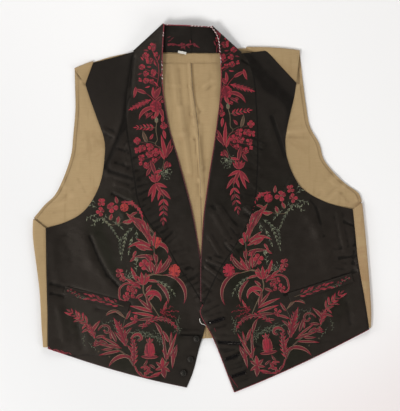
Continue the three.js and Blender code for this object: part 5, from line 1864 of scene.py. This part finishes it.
class WAISTCOAT_OT_piping(bpy.types.Operator):
    """Make the red piping along the collar, the hems and the right front edge"""

    bl_idname = "waistcoat.piping"
    bl_label = "Piping"

    def execute(self, context):
        radius = context.scene.waistcoat_sizes.piping_radius / MM
        for side in SIDES:
            at = COLLARS[side]["at"]
            front = FRONTS[side]["at"]
            hem = front[-2], front[-1]
            if side == "right":
                start = len(EDGES[side]["free"])
                inside = np.vstack([front[start:-1, 1], front[-2:-1, 1], hem[0][1:]])
                hem = inside, np.vstack([front[start:-1, 0], front[-1:, 0], hem[1][1:]])
            cords = ("collar", (at[:, -2], at[:, -1]), radius), ("front", hem, radius * 0.72)
            for name, edges, size in cords:
                route = piping_route(*edges, size * 0.75)
                route[:, 2] = np.maximum(route[:, 2], size * 1.12)
                points, faces, uvs, line = tube(route, size, CORD_SIDES, 0.12, 0.9)
                x, y = line[:, 0], line[:, 1]
                worn = 0.85 * smooth(198, 240, y)
                # How much darker each stretch of the cord is
                darkening = 0.25 + 0.3 * smooth(195, 150, y) + 0.22 * smooth(-10, -60, y)
                if side == "left":
                    worn = 0.62 * smooth(170, 200, y) * (1 - 0.3 * smooth(224, 246, y))
                    darkening = 0.25 + 0.5 * smooth(195, 150, y)
                if name == "front":
                    darkening = smooth(-216, -198, x) * 0.85 if side == "left" else np.full(len(line), 0.35)
                colours = np.column_stack([worn, darkening, darkening, np.ones(len(line))])
                colours = np.repeat(colours, CORD_SIDES, axis=0)
                piece = add_mesh(f"cord_piping_{name}_{side}", points, faces, "red piping", uvs, colours)
                face_outwards(piece)
                finish(piece, [f"piping_{name}_{side}"], 60)
        return {"FINISHED"}


def select_faces(piece, way):
    """Selects the faces of a piece in edit mode that look up (1) or down (-1)."""
    bpy.ops.mesh.select_all(action="DESELECT")
    shaped = bmesh.from_edit_mesh(piece.data)
    for face in shaped.faces:
        face.select = face.normal.z * way > 0.9
    bmesh.update_edit_mesh(piece.data)


class WAISTCOAT_OT_buttons(bpy.types.Operator):
    """Make the cloth-covered buttons"""

    bl_idname = "waistcoat.buttons"
    bl_label = "Buttons"

    def execute(self, context):
        radius = context.scene.waistcoat_sizes.button_radius
        side = radius * 0.93
        for i, (x, y) in enumerate(BUTTONS):
            low, high = (corner[2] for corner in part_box(f"button_{i + 1}"))
            foot = float(lie(x, y) + SILK / 2) * MM
            rim = low + (high - low) * 0.45
            middle = Vector((x * MM, y * MM))
            bpy.ops.object.select_all(action="DESELECT")
            place = (*middle, (low + high) / 2)
            bpy.ops.mesh.primitive_cylinder_add(vertices=28, radius=side, depth=high - low, location=place)
            piece = context.active_object
            piece.name = f"covered_button_{i + 1}"
            bpy.ops.object.transform_apply(location=True, rotation=True, scale=True)
            bpy.ops.object.mode_set(mode="EDIT")
            select_faces(piece, 1)
            for inset in (0.16, 0.24, 0.28):
                bpy.ops.mesh.inset(thickness=radius * inset)
            select_faces(piece, -1)
            bpy.ops.mesh.inset(thickness=radius * 0.55)
            bpy.ops.mesh.extrude_region_move(TRANSFORM_OT_translate={"value": (0, 0, foot - low)})
            bpy.ops.object.mode_set(mode="OBJECT")
            for vertex in piece.data.vertices:
                share = min(1, (vertex.co.xy - middle).length / side)
                if vertex.co.z > rim:
                    vertex.co.z = rim + (high - rim) * math.sqrt(max(0, 1 - (share * 0.9) ** 2))
                elif share > 0.9:
                    vertex.co.z = rim - (rim - low) * 0.55
            swell = piece.modifiers.new("round", "SUBSURF")
            swell.levels = 2
            swell.render_levels = 2
            bpy.context.view_layer.objects.active = piece
            bpy.ops.object.modifier_apply(modifier=swell.name)
            gather_cover(piece, middle, radius)
            piece.data.materials.append(shared("black silk cover"))
            plain_threads(piece)
            finish(piece, [f"button_{i + 1}"], 60)
        return {"FINISHED"}


def gather_cover(piece, middle, radius):
    """Draws the cover of a button into small gathers towards its rim."""
    for vertex in piece.data.vertices:
        away = vertex.co.xy - middle
        if away.length < radius * 0.3:
            continue
        strength = min(1, (away.length / radius - 0.3) / 0.6)
        vertex.co.z += GATHER_HEIGHT * strength * math.sin(math.atan2(away.y, away.x) * GATHERS)


def half_round(line, half, height, seed):
    """Points and faces of a padded strip along a flat line on the right front."""
    across = sideways(line)
    shape = ((-1, -STRIP_SINK), (-0.8, height * 0.5), (-0.3, height), (0.3, height), (0.8, height * 0.5),
             (1, -STRIP_SINK))
    wobble = waves(seed, 8, 2.5, 7)
    rings = []
    for a, up in shape:
        flat = line + across * a * half
        rise_here = up * (1 + 0.45 * wobble(flat[:, 0], flat[:, 1]) * (up > 0))
        rings.append(lifted(flat, lie_right) + np.outer(SILK / 2 + rise_here, UP))
    return np.stack(rings, axis=1).reshape(-1, 3), ring_faces(len(line), len(shape))


class WAISTCOAT_OT_buttonholes(bpy.types.Operator):
    """Make the bound buttonholes of the right front"""

    bl_idname = "waistcoat.buttonholes"
    bl_label = "Buttonholes"

    def execute(self, context):
        for i, (from_x, from_y, to_x, to_y) in enumerate(BUTTONHOLES):
            start, end, run, across = span((from_x, from_y), (to_x, to_y))
            count = max(8, round(np.linalg.norm(end - start) / 1.2))
            line = mix(start, end, np.linspace(0, 1, count)[:, None])
            parts = [half_round(line + across * shift, 1.4, 1.0, i) for shift in (1.35, -1.35)]
            for end_point, way in ((start, -1), (end, 1)):
                tack = end_point + np.outer(np.linspace(-2.3, 2.3, 6), across) + run * way * 0.7
                parts.append(half_round(tack, 0.8, 0.95, i + 9))
            name, nodes = f"bound_buttonhole_{i + 1}", [f"buttonhole_{i + 1}"]
            plain_threads(sewn(name, parts, "black silk binding", nodes))
        return {"FINISHED"}


class WAISTCOAT_OT_figures(bpy.types.Operator):
    """Weave the sprays of flowers and leaves into the collar, the fronts and the welts"""

    bl_idname = "waistcoat.figures"
    bl_label = "Woven figures"

    def execute(self, context):
        relief = context.scene.waistcoat_sizes.relief / MM
        lapel, front, welt = lapel_spray().strips, front_spray().strips, welt_spray().strips
        for side in SIDES:
            sprays = {"collar": (lapel, LAPEL_TURN, 0.38), "front": (front, FRONT_TURN, 1.0)}
            for panel, (strips, turned_by, outlined) in sprays.items():
                if side == "right":
                    full = turned_by["fullness"]
                    strips = [
                        (mirrored(line, turned_by), half * full, RED if tone == ORANGE else tone, *rest)
                        for line, half, tone, *rest in strips
                    ]
                if side == "right" and panel == "front":
                    strips += EDGE_LINES
                woven(f"figures_{panel}_{side}", strips, surfaces(f"silk_{panel}_{side}"), relief, outlined)
            from_x, from_y, to_x, to_y, _ = WELTS[f"welt_{side}"]
            ends = [(from_x, from_y), (to_x, to_y)]
            start, _, run, across = span(*ends[:: TOWARDS_EDGE[side]])
            across = across * TOWARDS_EDGE[side]
            strips = [
                (start + line[:, :1] * run + line[:, 1:] * across, half, *rest)
                for line, half, *rest in welt
            ]
            woven(f"figures_welt_{side}", strips, surfaces(f"silk_welt_{side}"), relief)
        band = band_spray().strips
        woven("figures_neck_border", band, surfaces("silk_collar_left", "silk_collar_right"), relief, 0.2)
        return {"FINISHED"}


def stitch_row(line, trees, sizes):
    """Short padded stitches along a flat line in millimetres, laid on a surface."""
    length, gap = sizes.stitch_length / MM, sizes.stitch_gap / MM
    total = lengths_along(line)[-1]
    parts = []
    for k in range(int(total / gap)):
        ends = at_share(line, np.array((k * gap, k * gap + length)) / total)
        heights = [height_on(trees, *place) for place in ends]
        if None in heights or abs(heights[0] - heights[1]) > 1:
            continue
        start, end = (np.array((*place, z + 0.05)) for place, z in zip(ends, heights))
        run = unit(end - start)
        across = np.array((-run[1], run[0], 0.0))
        up = np.cross(run, across)
        points = [start - UP * STITCH_SINK]
        for share, size in ((0.12, 0.7), (0.5, 1.0), (0.88, 0.7)):
            middle = start + (end - start) * share
            for side in range(5):
                turn = side / 5 * math.tau
                out = across * math.cos(turn) + up * math.sin(turn)
                points.append(middle + STITCH_RADIUS * size * out)
        points.append(end - UP * STITCH_SINK)
        faces = [[0, 1 + (side + 1) % 5, 1 + side] for side in range(5)]
        faces += [[1 + n for n in face] for face in ring_faces(3, 5)[:-2]]
        faces += [[11 + side, 11 + (side + 1) % 5, 16] for side in range(5)]
        parts.append((np.array(points), faces))
    return parts


class WAISTCOAT_OT_stitches(bpy.types.Operator):
    """Sew the stitches of the hems and seams, and lay the loose threads"""

    bl_idname = "waistcoat.stitches"
    bl_label = "Stitches and thread"

    def execute(self, context):
        sizes = context.scene.waistcoat_sizes
        for side in SIDES:
            us = np.linspace(0.1, ARMHOLE_END[side] - 0.1, 90)
            armhole = through(BACKS[side][:, 1:], [ARMHOLE_END[side]])(us)
            xs = np.linspace(*HEM_STITCHES[side])
            hem = np.column_stack([xs, hem_y(xs) + 5])
            seam = offset(EDGES[side]["out"][corner_row(side, 1) :], TOWARDS_EDGE[side] * -1.7)
            back = surfaces(f"cotton_back_{side}")
            parts = []
            for line in (offset(armhole, TOWARDS_EDGE[side] * (HEM_DEPTH - 0.9)), hem, seam):
                parts += stitch_row(line, back, sizes)
            sewn(f"stitches_back_{side}", parts, "tan thread")
        from_x, to_x, y, depth = FACING
        y = y - depth / 2 + 1.3
        line = np.array([(from_x + 4, y), (to_x - 4, y)])
        parts = stitch_row(line, surfaces("cotton_neck_facing"), sizes)
        sewn("stitches_neck_facing", parts, "tan thread")
        for side in SIDES:
            seam = EDGES[side]["out"][corner_row(side, 1) + 2 : -2]
            near, far = (offset(seam, TOWARDS_EDGE[side] * by) for by in (1.1, 3.2))
            zigzag = np.where(np.arange(len(seam))[:, None] % 2, near, far)
            parts = stitch_row(zigzag, surfaces(f"silk_front_{side}"), sizes)
            plain_threads(sewn(f"stitches_side_{side}", parts, "black silk binding"))
        self.threads("white_loose_thread", LOOSE_THREADS, 0.5, "white tape", "white_tape", 3)
        self.threads("red_frayed_threads", FRAYED_THREADS, 0.45, "red piping", "red_piping", 0.9)
        return {"FINISHED"}

    def threads(self, name, routes, radius, material, slot, off_cloth):
        """Loose threads along flat routes over the fronts."""
        fronts = surfaces("silk_front_left", "silk_front_right")
        parts, spread = [], []
        for route in routes:
            flat = through(route)(np.linspace(0, len(route) - 1, 6 * len(route)))
            heights = []
            for place in flat:
                found = height_on(fronts, *place)
                heights.append(found + 0.35 if found else (heights[-1] - 0.05 if heights else off_cloth))
            heights = np.maximum(heights, radius * 1.3)
            points, faces, uvs, _ = tube(np.column_stack([flat, heights]), radius, 6, 0.2)
            parts.append((points, faces))
            spread.append(uvs)
        points, faces = joined(parts)
        made = add_mesh(name, points, faces, material, np.vstack(spread), [PLAIN_THREAD] * len(points))
        face_outwards(made)
        finish(made, (), 60)


class WAISTCOAT_OT_stage(bpy.types.Operator):
    """Make the pale floor, the soft lights and the camera overhead"""

    bl_idname = "waistcoat.stage"
    bl_label = "Stage"

    def execute(self, context):
        scene = context.scene
        bpy.ops.object.select_all(action="DESELECT")
        bpy.ops.mesh.primitive_plane_add(size=FLOOR_SIZE, location=(0, 0, -FLOOR_DROP))
        floor = context.active_object
        floor.name = "floor"
        floor.data.materials.append(shared("pale floor"))
        for name, place, size, power in LIGHTS:
            light = bpy.data.lights.new(name, "AREA")
            light.shape = "DISK"
            light.size = size
            light.energy = power
            lamp = bpy.data.objects.new(name, light)
            lamp.location = place
            lamp.rotation_euler = (-Vector(place)).to_track_quat("-Z", "Y").to_euler()
            scene.collection.objects.link(lamp)
        world = bpy.data.worlds.new("studio")
        world.use_nodes = True
        world.node_tree.nodes["Background"].inputs[0].default_value = (1, 1, 1, 1)
        world.node_tree.nodes["Background"].inputs[1].default_value = WORLD_LIGHT
        scene.world = world
        scene.view_settings.view_transform = "Standard"
        camera = bpy.data.cameras.new("overhead")
        camera.sensor_width = SENSOR_WIDTH
        camera.lens = SENSOR_WIDTH * CAMERA_REACH / SEEN_WIDTH
        eye = bpy.data.objects.new("overhead", camera)
        eye.location = CAMERA_PLACE
        scene.collection.objects.link(eye)
        scene.camera = eye
        return {"FINISHED"}


class WAISTCOAT_PT_panel(bpy.types.Panel):
    """Lists the waistcoat's pieces in the sidebar"""

    bl_idname = "WAISTCOAT_PT_panel"
    bl_label = "Waistcoat"
    bl_space_type = "VIEW_3D"
    bl_region_type = "UI"
    bl_category = "Waistcoat"

    def draw(self, context):
        for group_name in ("waistcoat_sizes", "waistcoat_colours"):
            values = getattr(context.scene, group_name)
            for key in values.bl_rna.properties.keys():
                if key not in ("rna_type", "name"):
                    self.layout.prop(values, key)
        for operator in OPERATORS:
            self.layout.operator(operator.bl_idname)


OPERATORS = (
    WAISTCOAT_OT_stage,
    WAISTCOAT_OT_back,
    WAISTCOAT_OT_facing,
    WAISTCOAT_OT_fronts,
    WAISTCOAT_OT_collar,
    WAISTCOAT_OT_welts,
    WAISTCOAT_OT_piping,
    WAISTCOAT_OT_buttons,
    WAISTCOAT_OT_buttonholes,
    WAISTCOAT_OT_figures,
    WAISTCOAT_OT_stitches,
)
CLASSES = (WaistcoatSizes, WaistcoatColours, *OPERATORS, WAISTCOAT_PT_panel)


def register():
    for made in CLASSES:
        bpy.utils.register_class(made)
    bpy.types.Scene.waistcoat_sizes = PointerProperty(type=WaistcoatSizes)
    bpy.types.Scene.waistcoat_colours = PointerProperty(type=WaistcoatColours)


def unregister():
    del bpy.types.Scene.waistcoat_colours
    del bpy.types.Scene.waistcoat_sizes
    for made in reversed(CLASSES):
        bpy.utils.unregister_class(made)


def main():
    register()
    for operator in OPERATORS:
        getattr(bpy.ops.waistcoat, operator.bl_idname.split(".")[1])()
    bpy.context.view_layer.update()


if __name__ == "__main__":
    main()
